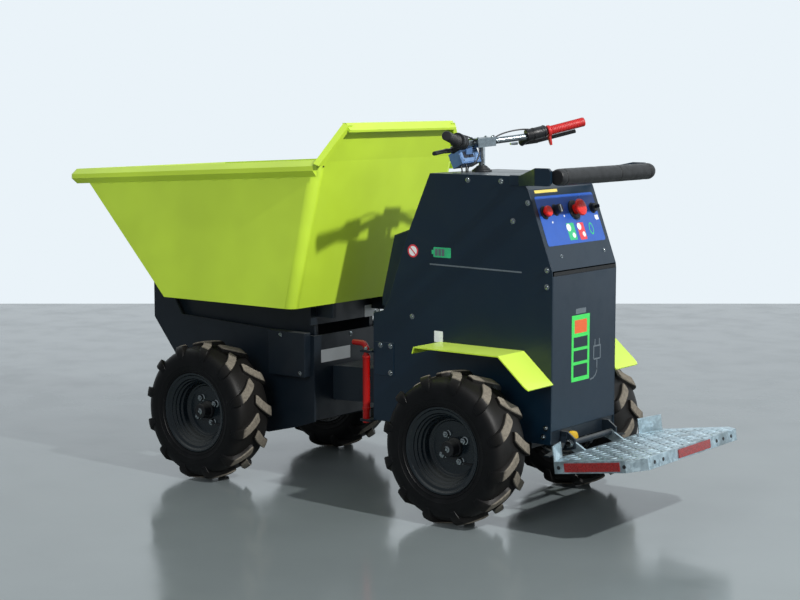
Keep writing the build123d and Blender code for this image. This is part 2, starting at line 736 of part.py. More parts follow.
def step():
    """Galvanised deck with skirt, cut rear corners, tyre guards and hinge arms."""
    cut = 52.0
    nose = 10.0
    plan = [(nose, -guard_in), (nose, guard_in), (-step_set, step_half), (-(step_long - cut), step_half),
            (-step_long, step_half - cut), (-step_long, -(step_half - cut)), (-(step_long - cut), -step_half),
            (-step_set, -step_half)]
    inner = [(nose + 1, -(step_half - sheet)), (nose + 1, step_half - sheet),
             (-(step_long - cut) + 2, step_half - sheet),
             (-(step_long - sheet), step_half - cut - 2), (-(step_long - sheet), -(step_half - cut - 2)),
             (-(step_long - cut) + 2, -(step_half - sheet))]
    body = prism_z(plan, -step_deep, 0) - prism_z(inner, -step_deep - 1, -sheet)
    guard = [(nose, guard_in), (-step_set, step_half), (-step_set - sheet, step_half), (nose - sheet, guard_in)]
    for side in both_sides(prism_z(guard, -sheet, 50)):
        body += side
    arm = [(-120, -sheet), (-10, -sheet), (40, 34), (56, 34), (66, 24), (66, 10), (50, 2), (-8, -34),
           (-120, -20)]
    for y in (-124, 114):
        body += prism_y(arm, y, y + 10)
    body = step_place(body)
    return body - ring_y(step_hinge_x, step_hinge_z, -200, 200, step_pin_radius + running_fit)


save("step_plate", [step()])
reflectors = [box(-step_long - reflector_thick, -step_long, -105, 105, -33, -5)]
reflectors += both_sides(box(-262, -62, step_half, step_half + reflector_thick, -33, -5))
save("step_reflectors", [step_place(r) for r in reflectors])
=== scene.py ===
from math import cos, hypot, pi, radians, sin, sqrt, tau

import bmesh
import bpy
from bpy.props import FloatProperty, IntProperty, StringProperty
from mathutils import Matrix, Vector


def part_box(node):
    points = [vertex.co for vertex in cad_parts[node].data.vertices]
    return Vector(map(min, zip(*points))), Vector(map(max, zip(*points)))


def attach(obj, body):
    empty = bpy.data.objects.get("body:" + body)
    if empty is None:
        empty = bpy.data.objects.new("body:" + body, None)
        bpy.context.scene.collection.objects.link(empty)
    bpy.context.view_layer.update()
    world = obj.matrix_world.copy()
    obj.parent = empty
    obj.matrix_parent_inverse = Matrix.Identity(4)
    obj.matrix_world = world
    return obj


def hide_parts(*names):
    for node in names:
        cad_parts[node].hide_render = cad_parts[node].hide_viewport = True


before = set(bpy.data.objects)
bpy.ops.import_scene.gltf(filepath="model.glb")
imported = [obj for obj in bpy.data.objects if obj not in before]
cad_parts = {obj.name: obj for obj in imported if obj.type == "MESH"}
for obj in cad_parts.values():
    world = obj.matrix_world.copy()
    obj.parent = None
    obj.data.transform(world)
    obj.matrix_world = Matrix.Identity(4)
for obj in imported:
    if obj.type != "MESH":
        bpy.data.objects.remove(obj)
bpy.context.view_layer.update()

bl_info = {
    "name": "Site dumper dressing",
    "version": (1, 0, 0),
    "blender": (4, 5, 0),
    "location": "View3D > Sidebar > Dumper",
    "description": "Finishes, tyres, trim and soft parts of an articulated electric site dumper",
    "category": "Object",
}

SIDES = (("left", 1), ("right", -1))
ENDS = ("front", "rear")
MM = 0.001
# the trim's sizes, in mm, are laid off from the same datum as the solids, this far ahead of the origin
DATUM_X = 50.62
CONSOLE_Y = 200.0
COVER_X = -865.0
FRAME_BACK_X = 141.0
CARRIER_BACK_X = 156.0
BACKWARDS = (-1, 0, 0)


# ---------------------------------------------------------------- settings
class DumperFinish(bpy.types.PropertyGroup):
    """Colours of the dumper's finishes, as sRGB hex values."""

    skip_paint: StringProperty(name="Skip paint", description="Lime powder coat of skip and fenders",
                               default="#BBDA3B")
    chassis_paint: StringProperty(name="Chassis paint", description="Anthracite paint of the two frames",
                                  default="#0F1922")
    console_paint: StringProperty(name="Console paint", description="Blue-grey paint of the console",
                                  default="#0B1F2E")
    lock_paint: StringProperty(name="Lock bar paint", description="Red paint of the lock bar",
                               default="#920604")
    panel_foil: StringProperty(name="Panel foil", description="Blue foil under the controls",
                               default="#2553A8")
    rubber: StringProperty(name="Tyre rubber", description="Rubber of the tyres", default="#090A0C")


class DumperSizes(bpy.types.PropertyGroup):
    """Sizes of the trim, each at its real size."""

    lug_count: IntProperty(name="Lugs a side", description="Tread bars on each side of a tyre", default=12,
                           min=6, max=16)
    lug_width: FloatProperty(name="Lug width", description="Width of a tread bar's face", default=0.033,
                             unit="LENGTH", subtype="DISTANCE")
    bolt_head: FloatProperty(name="Bolt head", description="Diameter of a panel bolt's head", default=0.013,
                             unit="LENGTH", subtype="DISTANCE")
    weld_run: FloatProperty(name="Weld run", description="Length of one stitch weld", default=0.03,
                            unit="LENGTH", subtype="DISTANCE")
    weld_pitch: FloatProperty(name="Weld pitch", description="Distance from one stitch weld to the next",
                              default=0.075, unit="LENGTH", subtype="DISTANCE")
    tread_bar: FloatProperty(name="Tread bar", description="Length of a raised bar of the step's plate",
                             default=0.030, unit="LENGTH", subtype="DISTANCE")


class DumperStage(bpy.types.PropertyGroup):
    """Floor, background and lamps."""

    floor_colour: StringProperty(name="Floor colour", description="Pale sealed concrete", default="#737C7E")
    wall_colour: StringProperty(name="Wall colour", description="What is seen behind the dumper",
                                default="#EAF3F9")
    fill: FloatProperty(name="Fill", description="Strength of the even light from all sides", default=0.66,
                        min=0.0)
    key: FloatProperty(name="Key", description="Power of the lamp behind the console, in watts",
                       default=285.0, min=0.0, subtype="POWER")


# ---------------------------------------------------------------- nodes and colours
def linear(hex_colour):
    """An sRGB hex value as the linear RGBA that shaders take."""
    channels = []
    for start in (1, 3, 5):
        value = int(hex_colour[start:start + 2], 16) / 255
        channels.append(value / 12.92 if value <= 0.04045 else ((value + 0.055) / 1.055) ** 2.4)
    return (*channels, 1.0)


def add(tree, kind, links=None, **settings):
    """Adds a node. Settings name its properties or sockets, and links name sockets and their source."""
    made = tree.nodes.new(kind)
    for name, value in settings.items():
        if hasattr(made, name):
            setattr(made, name, value)
        else:
            made.inputs[name.replace("_", " ")].default_value = value
    for name, source in (links or {}).items():
        tree.links.new(source, made.inputs[name])
    return made


def start_material(name, **settings):
    """A material with one Principled shader, whose constant values stand on its own sockets."""
    material = bpy.data.materials.new(name)
    material.use_nodes = True
    tree = material.node_tree
    tree.nodes.clear()
    shader = add(tree, "ShaderNodeBsdfPrincipled", **settings)
    out = tree.nodes.new("ShaderNodeOutputMaterial")
    tree.links.new(shader.outputs["BSDF"], out.inputs["Surface"])
    return material, tree, shader


def shade(colour, share):
    """The same linear colour, darker or lighter by a share."""
    return tuple(min(1.0, channel * share) for channel in colour[:3]) + (1.0,)


def blend_colours(tree, share, low, high):
    """Mixes two colours, or a colour and a socket, by a share; returns the mixed colour."""
    mix = tree.nodes.new("ShaderNodeMix")
    mix.data_type = "RGBA"
    for socket, value in ((mix.inputs[0], share), (mix.inputs[6], low), (mix.inputs[7], high)):
        if isinstance(value, tuple):
            socket.default_value = value
        else:
            tree.links.new(value, socket)
    return mix.outputs[2]


def ramp(tree, value, low, high, out_low=0.0, out_high=1.0):
    """Maps a value smoothly from one range to another."""
    spread = add(tree, "ShaderNodeMapRange", {"Value": value}, interpolation_type="SMOOTHSTEP", From_Min=low,
                 From_Max=high, To_Min=out_low, To_Max=out_high)
    return spread.outputs["Result"]


def place(tree):
    """The surface point in the object's own metres."""
    return add(tree, "ShaderNodeTexCoord").outputs["Object"]


def mottle(tree, size_mm, detail, rough=0.55):
    """Cloudy noise whose blotches are about that many millimetres across."""
    noise = add(tree, "ShaderNodeTexNoise", {"Vector": place(tree)}, Scale=1.0 / (size_mm * MM),
                Detail=detail, Roughness=rough)
    return noise.outputs["Fac"]


def relief(tree, height, shader, distance_mm, strength=1.0):
    """Turns a height pattern into bump on the shader."""
    bump = add(tree, "ShaderNodeBump", {"Height": height}, Distance=distance_mm * MM, Strength=strength)
    tree.links.new(bump.outputs["Normal"], shader.inputs["Normal"])


def cloudy_colour(tree, shader, colour, deep, size_mm, detail, high=0.7):
    """Gives the shader a colour that sinks to a deeper tone in clouds of that size."""
    base = linear(colour)
    cloud = ramp(tree, mottle(tree, size_mm, detail), 0.3, high)
    tree.links.new(blend_colours(tree, cloud, shade(base, deep), base), shader.inputs["Base Color"])


def cloudy_shine(tree, shader, size_mm, detail, low, high):
    """Lets the shader's roughness drift between two values in clouds of that size."""
    tree.links.new(ramp(tree, mottle(tree, size_mm, detail), 0.3, 0.7, low, high), shader.inputs["Roughness"])


def facing_up(tree):
    """1 where the surface looks up, 0 where it is upright or looks down."""
    normal = add(tree, "ShaderNodeNewGeometry").outputs["Normal"]
    split = add(tree, "ShaderNodeSeparateXYZ", {"Vector": normal})
    return ramp(tree, split.outputs["Z"], 0.35, 0.95)


# ---------------------------------------------------------------- materials
def powder_coat(name, colour, rough, peel=0.05, dust=0.10, coat=0.0):
    """Powder-coated steel, baked: even colour, slight orange peel, a breath of dust where it lies flat."""
    material, tree, shader = start_material(name, Metallic=0.0, IOR=1.5, Coat_Weight=coat,
                                            Coat_Roughness=0.12)
    base = linear(colour)
    cloud = ramp(tree, mottle(tree, 420, 3.0), 0.3, 0.7)
    tone = blend_colours(tree, cloud, shade(base, 0.90), shade(base, 1.06))
    film = add(tree, "ShaderNodeMath", {0: facing_up(tree)}, operation="MULTIPLY")
    film.inputs[1].default_value = dust
    dusty = blend_colours(tree, film.outputs[0], tone, linear("#B9BCB6"))
    tree.links.new(dusty, shader.inputs["Base Color"])
    smear = ramp(tree, mottle(tree, 90, 5.0, 0.65), 0.35, 0.7, rough - 0.05, rough + 0.09)
    tree.links.new(smear, shader.inputs["Roughness"])
    relief(tree, mottle(tree, 5.5, 2.0, 0.4), shader, peel)
    return material


def plated_steel(name, colour, rough):
    """Zinc or chrome on steel: bright metal, fine drawn scratches and slightly uneven shine."""
    material, tree, shader = start_material(name, Metallic=1.0)
    cloudy_colour(tree, shader, colour, 0.72, 14, 5.0, 0.72)
    cloudy_shine(tree, shader, 5, 6.0, rough - 0.04, rough + 0.10)
    relief(tree, mottle(tree, 2.5, 3.0), shader, 0.02)
    return material


def galvanised_steel():
    """Hot-dip galvanised steel: crystals of zinc 8 to 15 mm wide, each its own grey, with dull runs."""
    material, tree, shader = start_material("galvanised_steel", Metallic=0.85)
    crystals = add(tree, "ShaderNodeTexVoronoi", {"Vector": place(tree)}, Scale=1.0 / (11 * MM),
                   Randomness=1.0)
    split = add(tree, "ShaderNodeSeparateColor", {"Color": crystals.outputs["Color"]})
    tone = blend_colours(tree, split.outputs["Red"], linear("#98ACB6"), linear("#C3D8E1"))
    runs = ramp(tree, mottle(tree, 70, 5.0, 0.6), 0.42, 0.72)
    tree.links.new(blend_colours(tree, runs, tone, linear("#8C9A9F")), shader.inputs["Base Color"])
    tree.links.new(ramp(tree, split.outputs["Green"], 0.0, 1.0, 0.30, 0.50), shader.inputs["Roughness"])
    relief(tree, mottle(tree, 6, 4.0), shader, 0.08)
    return material


def tyre_rubber(colour):
    """Moulded tyre rubber: matt black with a bloom on the side, and lug faces worn to a dusty tan grey."""
    material, tree, shader = start_material("tyre_rubber", Metallic=0.0, IOR=1.52, Specular_IOR_Level=0.22)
    split = add(tree, "ShaderNodeSeparateXYZ", {"Vector": place(tree)})
    flat = add(tree, "ShaderNodeCombineXYZ", {"X": split.outputs["X"], "Y": split.outputs["Z"]})
    length = add(tree, "ShaderNodeVectorMath", {0: flat.outputs[0]}, operation="LENGTH")
    radius = length.outputs["Value"]
    speck = mottle(tree, 9, 6.0, 0.7)
    worn = ramp(tree, radius, 0.2435, 0.2475)
    patch = ramp(tree, speck, 0.28, 0.62, 0.55, 1.0)
    wear = add(tree, "ShaderNodeMath", {0: worn, 1: patch}, operation="MULTIPLY").outputs[0]
    bloom = ramp(tree, mottle(tree, 55, 5.0, 0.6), 0.4, 0.75)
    side = blend_colours(tree, bloom, linear(colour), linear("#0F1012"))
    dust = ramp(tree, radius, 0.205, 0.238, 0.0, 0.30)
    root = blend_colours(tree, dust, side, linear("#26231F"))
    tree.links.new(blend_colours(tree, wear, root, linear("#7C766B")), shader.inputs["Base Color"])
    tree.links.new(ramp(tree, wear, 0.0, 1.0, 0.50, 0.88), shader.inputs["Roughness"])
    relief(tree, mottle(tree, 3, 5.0, 0.65), shader, 0.18)
    return material


def moulded_plastic(name, colour, rough, grain=0.05):
    """Injection-moulded plastic: fine spark-eroded grain, even colour, soft highlights."""
    material, tree, shader = start_material(name, Metallic=0.0, IOR=1.46)
    cloudy_colour(tree, shader, colour, 0.86, 30, 4.0)
    cloudy_shine(tree, shader, 12, 5.0, rough - 0.05, rough + 0.07)
    relief(tree, mottle(tree, 1.6, 2.0), shader, grain)
    return material


def leathercloth():
    """PVC-coated cloth over foam: black, pebbled grain about 2 mm wide, a low sheen on its folds."""
    material, tree, shader = start_material("leathercloth", Metallic=0.0, IOR=1.5, Sheen_Weight=0.02,
                                            Sheen_Roughness=0.5)
    pebble = add(tree, "ShaderNodeTexVoronoi", {"Vector": place(tree)}, Scale=1.0 / (1.9 * MM))
    cloud = ramp(tree, mottle(tree, 60, 4.0), 0.3, 0.7)
    tone = blend_colours(tree, cloud, linear("#08090B"), linear("#0E1013"))
    tree.links.new(tone, shader.inputs["Base Color"])
    cloudy_shine(tree, shader, 25, 4.0, 0.42, 0.56)
    relief(tree, pebble.outputs["Distance"], shader, 0.22, 0.6)
    return material


def printed_foil(name, colour):
    """Printed adhesive foil: flat even colour under a satin film, with faint ripples where it is stuck."""
    material, tree, shader = start_material(name, Metallic=0.0, IOR=1.49)
    cloudy_colour(tree, shader, colour, 0.93, 45, 3.0)
    cloudy_shine(tree, shader, 20, 4.0, 0.30, 0.40)
    relief(tree, mottle(tree, 14, 2.0), shader, 0.05)
    return material


def prismatic_reflector():
    """Red reflective tape: a honeycomb of prisms about 4 mm wide that glints cell by cell."""
    material, tree, shader = start_material("reflective_tape", Metallic=0.0, IOR=1.58, Coat_Weight=0.6,
                                            Coat_Roughness=0.1)
    cells = add(tree, "ShaderNodeTexVoronoi", {"Vector": place(tree)}, Scale=1.0 / (4.2 * MM),
                Randomness=0.12)
    split = add(tree, "ShaderNodeSeparateColor", {"Color": cells.outputs["Color"]})
    tone = blend_colours(tree, split.outputs["Red"], linear("#6E0404"), linear("#8C0909"))
    tree.links.new(tone, shader.inputs["Base Color"])
    tree.links.new(ramp(tree, split.outputs["Green"], 0.0, 1.0, 0.2, 0.42), shader.inputs["Roughness"])
    relief(tree, cells.outputs["Distance"], shader, 0.25, 0.5)
    return material


def ribbed_rubber(name, colour, rough):
    """Moulded rubber or thread: matt, slightly mottled to a deeper tone in clouds, with a fine grain."""
    material, tree, shader = start_material(name, Metallic=0.0, IOR=1.5)
    cloudy_colour(tree, shader, colour, 0.8, 18, 5.0, 0.72)
    cloudy_shine(tree, shader, 8, 4.0, rough - 0.06, rough + 0.08)
    relief(tree, mottle(tree, 2.2, 4.0), shader, 0.09)
    return material


FINISH = {}


def make_finishes(colours):
    """Builds every finish once and keeps it by a short name."""
    FINISH.update({
        "lime": powder_coat("lime_powder_coat", colours.skip_paint, 0.36, dust=0.12),
        "chassis": powder_coat("anthracite_powder_coat", colours.chassis_paint, 0.42, peel=0.07),
        "console": powder_coat("blue_grey_powder_coat", colours.console_paint, 0.34, peel=0.05),
        "wheel": powder_coat("wheel_enamel", "#0C151B", 0.24, peel=0.03, coat=0.3),
        "red": powder_coat("red_enamel", colours.lock_paint, 0.34),
        "block": powder_coat("battery_enamel", "#34383C", 0.5),
        "iron": powder_coat("black_cast_iron", "#131518", 0.42, peel=0.2),
        "chrome": plated_steel("chromed_tube", "#C2CACE", 0.14),
        "alloy": plated_steel("satin_chromed_bar", "#8F9BA1", 0.30),
        "galvanised": galvanised_steel(),
        "tyre": tyre_rubber(colours.rubber),
        "plastic": moulded_plastic("black_polyamide", "#1A1C1F", 0.44),
        "red_plastic": moulded_plastic("red_polyamide", "#D02015", 0.3, grain=0.02),
        "display": moulded_plastic("blue_abs", "#4E6F9C", 0.34),
        "display_rim": moulded_plastic("pale_blue_abs", "#6C8CB6", 0.3),
        # the near-black of the pad's seam thread, also laid on as painted shade in the gap under the control
        # panel's foot
        "thread_and_gap_shade": ribbed_rubber("waxed_thread_and_painted_gap_shade", "#101214", 0.6),
        "window": moulded_plastic("smoked_acrylic", "#1C2230", 0.12, grain=0.005),
        "cover": leathercloth(),
        "grip_red": ribbed_rubber("red_grip_rubber", "#B81B1B", 0.5),
        "grip_black": ribbed_rubber("black_grip_rubber", "#1B1C1F", 0.55),
        "boot": ribbed_rubber("boot_rubber", "#202327", 0.5),
        "yellow": ribbed_rubber("yellow_polyurethane", "#D9B02E", 0.45),
        "foil": printed_foil("blue_panel_foil", colours.panel_foil),
        "white_foil": printed_foil("white_foil", "#DDE2E4"),
        "grey_foil": printed_foil("grey_foil", "#5A646B"),
        "green_foil": printed_foil("green_foil", "#2FAE74"),
        "red_foil": printed_foil("red_foil", "#CF3B45"),
        "yellow_foil": printed_foil("yellow_foil", "#DCC964"),
        "bright_foil": printed_foil("bright_green_foil", "#3FD05A"),
        "orange_foil": printed_foil("orange_foil", "#D9622E"),
        "tape": prismatic_reflector(),
    })


# what the names of the frame's nodes start with, and their finish
CAD_FINISH = (
    (("skip_tub", "fenders"), "lime"),
    (("front_frame", "rear_frame", "side_boxes", "skip_carrier", "hinge_flares", "front_axle", "rear_axle",
      "front_pins", "rear_pins"), "chassis"),
    (("side_panels", "console_cover", "front_cowl", "control_panel", "rear_cover", "side_covers",
      "pad_arms"), "console"),
    (("ram_rod", "steering_column"), "chrome"),
    (("ram_barrel", "hub_"), "iron"),
    (("rotary_switches", "hand_levers", "control_cables"), "plastic"),
    (("handlebar",), "alloy"),
    (("battery_pack",), "block"),
    (("lock_bar",), "red"),
    (("stop_knobs",), "red_plastic"),
    (("step_reflectors",), "tape"),
    (("grip_right",), "grip_red"),
    (("grip_left",), "grip_black"),
    (("display_box",), "display"),
    (("step_plate",), "galvanised"),
    (("step_buffer",), "yellow"),
    (("steering_boot",), "boot"),
    (("tyre_",), "tyre"),
    (("rim_",), "wheel"),
    (("back_pad",), "cover"),
)
# edge radius in mm of the folded, rolled or cast pieces that keep their own mesh
SOFT_EDGES = {
    "skip_tub": 1.6, "fenders": 1.2, "front_frame": 1.5, "rear_frame": 1.2, "side_boxes": 2.5,
    "skip_carrier": 1.5, "side_panels": 1.5, "console_cover": 1.5, "front_cowl": 4.0, "control_panel": 1.2,
    "rear_cover": 1.5, "side_covers": 1.2, "pad_arms": 2.0, "lock_bar": 1.0, "step_plate": 1.0,
    "step_reflectors": 0.8, "stop_knobs": 2.5, "rotary_switches": 1.5, "hand_levers": 2.0, "display_box": 5.0,
    "handlebar": 2.0, "ram_barrel": 1.5, "ram_rod": 1.0, "front_pins": 1.5, "rear_pins": 1.5,
    "step_buffer": 3.0, "battery_pack": 3.0,
}


def finish_frame():
    """Gives every CAD node its finish, and rounds the edges of those that stay in view."""
    for name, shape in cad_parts.items():
        for starts, finish in CAD_FINISH:
            if name.startswith(starts):
                shape.data.materials.clear()
                shape.data.materials.append(FINISH[finish])
        if name in SOFT_EDGES:
            weld = shape.modifiers.new("weld", "WELD")
            weld.merge_threshold = 0.01 * MM
            bevel = shape.modifiers.new("edges", "BEVEL")
            bevel.width = SOFT_EDGES[name] * MM
            bevel.segments = 2
            bevel.limit_method = "ANGLE"
            bevel.angle_limit = radians(28)


# ---------------------------------------------------------------- mesh helpers
def at(x, y, z):
    """A point given in millimetres."""
    return Vector((x, y, z)) * MM


def drawn(x, y, z):
    """A point of the part, given in millimetres from the drawing's datum."""
    return at(x + DATUM_X, y, z)


def settle(name, bm, body, finishes, sharp=35.0, where=None):
    """Turns a bmesh into a finished piece that rides on a body."""
    mesh = bpy.data.meshes.new(name)
    bmesh.ops.recalc_face_normals(bm, faces=bm.faces)
    bm.to_mesh(mesh)
    bm.free()
    mesh.shade_smooth()
    mesh.set_sharp_from_angle(angle=radians(sharp))
    for finish in finishes:
        mesh.materials.append(FINISH[finish])
    piece = bpy.data.objects.new(name, mesh)
    if where is not None:
        piece.matrix_world = where
    bpy.context.scene.collection.objects.link(piece)
    bpy.context.view_layer.update()
    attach(piece, body)
    return piece


def looking(point, direction):
    """A frame at a point whose local Z runs along a direction; X is level and Y leans upwards."""
    z = Vector(direction).normalized()
    x = Vector((0.0, 0.0, 1.0)).cross(z)
    if x.length < 0.001:
        x = Vector((1.0, 0.0, 0.0))
    x.normalize()
    turn = Matrix((x, z.cross(x), z)).transposed().to_4x4()
    return Matrix.Translation(Vector(point)) @ turn


def turn_profile(bm, profile, where, steps, mark=0):
    """Turns a (radius, height) outline, in mm, about the local Z of a frame."""
    rings = []
    for radius, height in profile:
        if radius < 0.001:
            rings.append([bm.verts.new(where @ at(0, 0, height))])
            continue
        ring = []
        for i in range(steps):
            a = tau * i / steps
            ring.append(bm.verts.new(where @ at(radius * cos(a), radius * sin(a), height)))
        rings.append(ring)
    for low, high in zip(rings, rings[1:]):
        for i in range(steps):
            j = (i + 1) % steps
            corners = (low[i % len(low)], low[j % len(low)], high[j % len(high)], high[i % len(high)])
            corners = list(dict.fromkeys(corners))
            if len(corners) > 2:
                bm.faces.new(corners).material_index = mark


def rounded(points, radius, steps):
    """A 2-D outline whose inner corners are arcs of that radius, where its edges leave room."""
    out = [points[0]]
    for before, corner, after in zip(points, points[1:], points[2:]):
        a = Vector(before) - Vector(corner)
        b = Vector(after) - Vector(corner)
        cut = min(radius, a.length * 0.45, b.length * 0.45)
        if cut < 0.05:
            out.append(corner)
            continue
        start = Vector(corner) + a.normalized() * cut
        end = Vector(corner) + b.normalized() * cut
        for i in range(steps + 1):
            t = i / steps
            bend = start * (1 - t) ** 2 + Vector(corner) * 2 * t * (1 - t) + end * t ** 2
            out.append(tuple(bend))
    out.append(points[-1])
    return out


def prism(bm, outline, where, depth, mark=0, edge=0.0):
    """Carries a flat (x, y) outline, in mm, up the local Z of a frame; edge rounds its upper rim."""
    low = [bm.verts.new(where @ at(x, y, 0)) for x, y in outline]
    high = [bm.verts.new(where @ at(x, y, depth)) for x, y in outline]
    faces = [bm.faces.new(low[::-1]), bm.faces.new(high)]
    count = len(outline)
    for i in range(count):
        j = (i + 1) % count
        faces.append(bm.faces.new((low[i], low[j], high[j], high[i])))
    for face in faces:
        face.material_index = mark
    if edge > 0:
        made = bmesh.ops.bevel(bm, geom=list(faces[1].edges), offset=edge * MM, segments=2, affect="EDGES",
                               profile=0.6)
        for face in made["faces"]:
            face.material_index = mark


def oblong(wide, tall, corner, steps=5):
    """A rectangle about the origin with round corners."""
    points = []
    for sx, sy, start in ((1, 1, 0), (-1, 1, 90), (-1, -1, 180), (1, -1, 270)):
        cx = sx * (wide / 2 - corner)
        cy = sy * (tall / 2 - corner)
        for i in range(steps + 1):
            a = radians(start + 90 * i / steps)
            points.append((cx + corner * cos(a), cy + corner * sin(a)))
    return points


def circle(radius, steps):
    """Points of a circle about the origin."""
    return [(radius * cos(tau * i / steps), radius * sin(tau * i / steps)) for i in range(steps)]


def bolt(bm, where, head):
    """A button-head bolt on its washer, with a hexagon socket."""
    r = head / 2
    turn_profile(bm, [(r * 1.45, 0), (r * 1.45, 1.1), (r * 1.35, 1.4), (r * 1.02, 1.4)], where, 28)
    turn_profile(bm, [(r, 1.4), (r * 0.97, 2.6), (r * 0.82, 4.0), (r * 0.55, 5.0), (r * 0.45, 5.1),
                      (r * 0.42, 2.6), (0, 2.4)], where, 28)


def hexagon_nut(bm, where, across, tall, stud, mark):
    """A flanged hexagon nut with the stud's end showing."""
    prism(bm, circle(across / sqrt(3), 6), where, tall, mark, edge=1.2)
    turn_profile(bm, [(across * 0.72, -1.5), (across * 0.72, 0.8), (across * 0.55, 2.4)], where, 28, mark)
    thread_end = [(stud, tall - 0.5), (stud, tall + 4), (stud - 1, tall + 5), (0, tall + 5)]
    turn_profile(bm, thread_end, where, 20, mark)


def skin(bm, rings, closed):
    """Joins neighbouring rings of points with faces, and closes the first and the last ring."""
    count = len(rings[0])
    for low, high in zip(rings, rings[1:]):
        for i in range(count if closed else count - 1):
            j = (i + 1) % count
            bm.faces.new((low[i], low[j], high[j], high[i]))
    bm.faces.new(rings[0][::-1])
    bm.faces.new(rings[-1])


def bead(bm, start, end, radius, out):
    """A weld run: a low rippled ridge between two points, its back in the sheet."""
    line = end - start
    side = out.cross(line).normalized()
    up = out.normalized()
    sections = []
    for i in range(9):
        t = i / 8
        swell = sqrt(max(0.0, 1 - (2 * t - 1) ** 4)) * (0.92 + 0.08 * (i % 2))
        r = radius * max(0.15, swell)
        ring = []
        for k in range(7):
            a = pi * k / 6
            ring.append(bm.verts.new(start + line * t + side * cos(a) * r + up * (sin(a) * r * 0.7 - 0.0004)))
        sections.append(ring)
    skin(bm, sections, False)


def round_tube(bm, points, radii, steps):
    """A closed tube along points, with a radius at each, its sections kept square to the run."""
    side = (points[1] - points[0]).orthogonal().normalized()
    rings = []
    for i, (point, r) in enumerate(zip(points, radii)):
        tangent = (points[min(i + 1, len(points) - 1)] - points[max(i - 1, 0)]).normalized()
        side = (side - tangent * side.dot(tangent)).normalized()
        up = tangent.cross(side)
        turns = [tau * k / steps for k in range(steps)]
        rings.append([bm.verts.new(point + (side * cos(a) + up * sin(a)) * r) for a in turns])
    skin(bm, rings, True)


# ---------------------------------------------------------------- wheels
def wheel_place(corner):
    """The middle of a wheel, from the box of its tyre."""
    low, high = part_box("tyre_" + corner)
    return Matrix.Translation((Vector(low) + Vector(high)) / 2)


# where the bars' swing along the tread, in mm, is laid off
TREAD_RADIUS = 244.0


def tread_bar(bm, turn, sign, width):
    """One lug: it leaves the middle steeply, bends outwards and drops over the shoulder."""
    stations = (
        # y, swing along the tread, top radius, foot radius, share of the width
        (-3.0, -2.0, 247.6, 233.0, 0.78),
        (3.0, 3.5, 249.5, 233.0, 0.94),
        (14.0, 14.5, 249.7, 233.0, 1.0),
        (29.0, 27.5, 249.5, 232.5, 1.0),
        (43.0, 38.0, 249.0, 231.5, 1.02),
        (57.0, 46.5, 248.0, 229.0, 1.06),
        (69.0, 52.5, 245.8, 224.0, 1.10),
        (78.0, 56.5, 239.0, 215.0, 1.12),
        (83.8, 59.0, 230.0, 207.0, 1.08),
        (86.2, 61.0, 221.0, 200.0, 0.98),
        (87.2, 62.5, 211.0, 192.0, 0.82),
        (87.2, 63.5, 200.0, 186.0, 0.60),
    )
    half = width / MM / 2
    shoulder = 60.0
    rings = []
    for index, (y, swing, top, foot, share) in enumerate(stations):
        drop = min(1.0, max(0.0, (y - shoulder) / 25)) if index < 8 else 1.0
        w = half * share
        foot_y = y - 13.0 * drop
        edge_y = y - 0.4 * drop
        section = ((-w - 4.5, foot, foot_y), (-w - 0.6, top - 2.6, edge_y), (-w + 1.6, top, y),
                   (0.0, top + 0.3, y + 0.2), (w - 1.6, top, y), (w + 0.6, top - 2.6, edge_y),
                   (w + 4.5, foot, foot_y))
        # the bar's far edge leads at the middle of the tread, where it runs at its steepest
        lean = 0.33 * (1 - min(1.0, abs(y) / shoulder))
        ring = []
        for across, r, out_y in section:
            angle = turn - (swing + across) / TREAD_RADIUS
            ring.append(bm.verts.new(at(r * sin(angle), sign * (out_y - lean * across), r * cos(angle))))
        rings.append(ring)
    skin(bm, rings, False)


def build_tyre(corner, sizes):
    """A lug tyre: casing with rim ribs and a bulged side, and two rows of bent bars."""
    half = [(0, 235.6), (12, 235.6), (30, 235.0), (48, 233.4), (60, 231.0), (70, 227.0), (77.5, 220.8),
            (82.4, 212.0), (85.2, 202.0), (86.6, 191.0), (86.6, 180.0), (85.4, 172.0), (85.7, 171.0),
            (85.7, 169.6), (84.5, 168.6), (82.3, 161.5), (81.0, 156.5), (81.9, 155.2), (81.8, 153.4),
            (79.6, 152.2), (78.6, 148.9), (77.2, 146.4), (73.0, 145.0), (67.0, 144.0), (65.2, 140.0),
            (65.0, 128.0)]
    outline = [(r, -y) for y, r in half[::-1]] + [(r, y) for y, r in half[1:]]
    bm = bmesh.new()
    turn_profile(bm, outline, looking((0, 0, 0), (0, 1, 0)), 120)
    pitch = tau / sizes.lug_count
    for i in range(sizes.lug_count):
        tread_bar(bm, pitch * i, 1, sizes.lug_width)
        tread_bar(bm, pitch * (i + 0.5), -1, sizes.lug_width)
    piece = settle("lug_tyre_" + corner, bm, "wheel_" + corner, ["tyre"], 32, wheel_place(corner))
    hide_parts("tyre_" + corner)


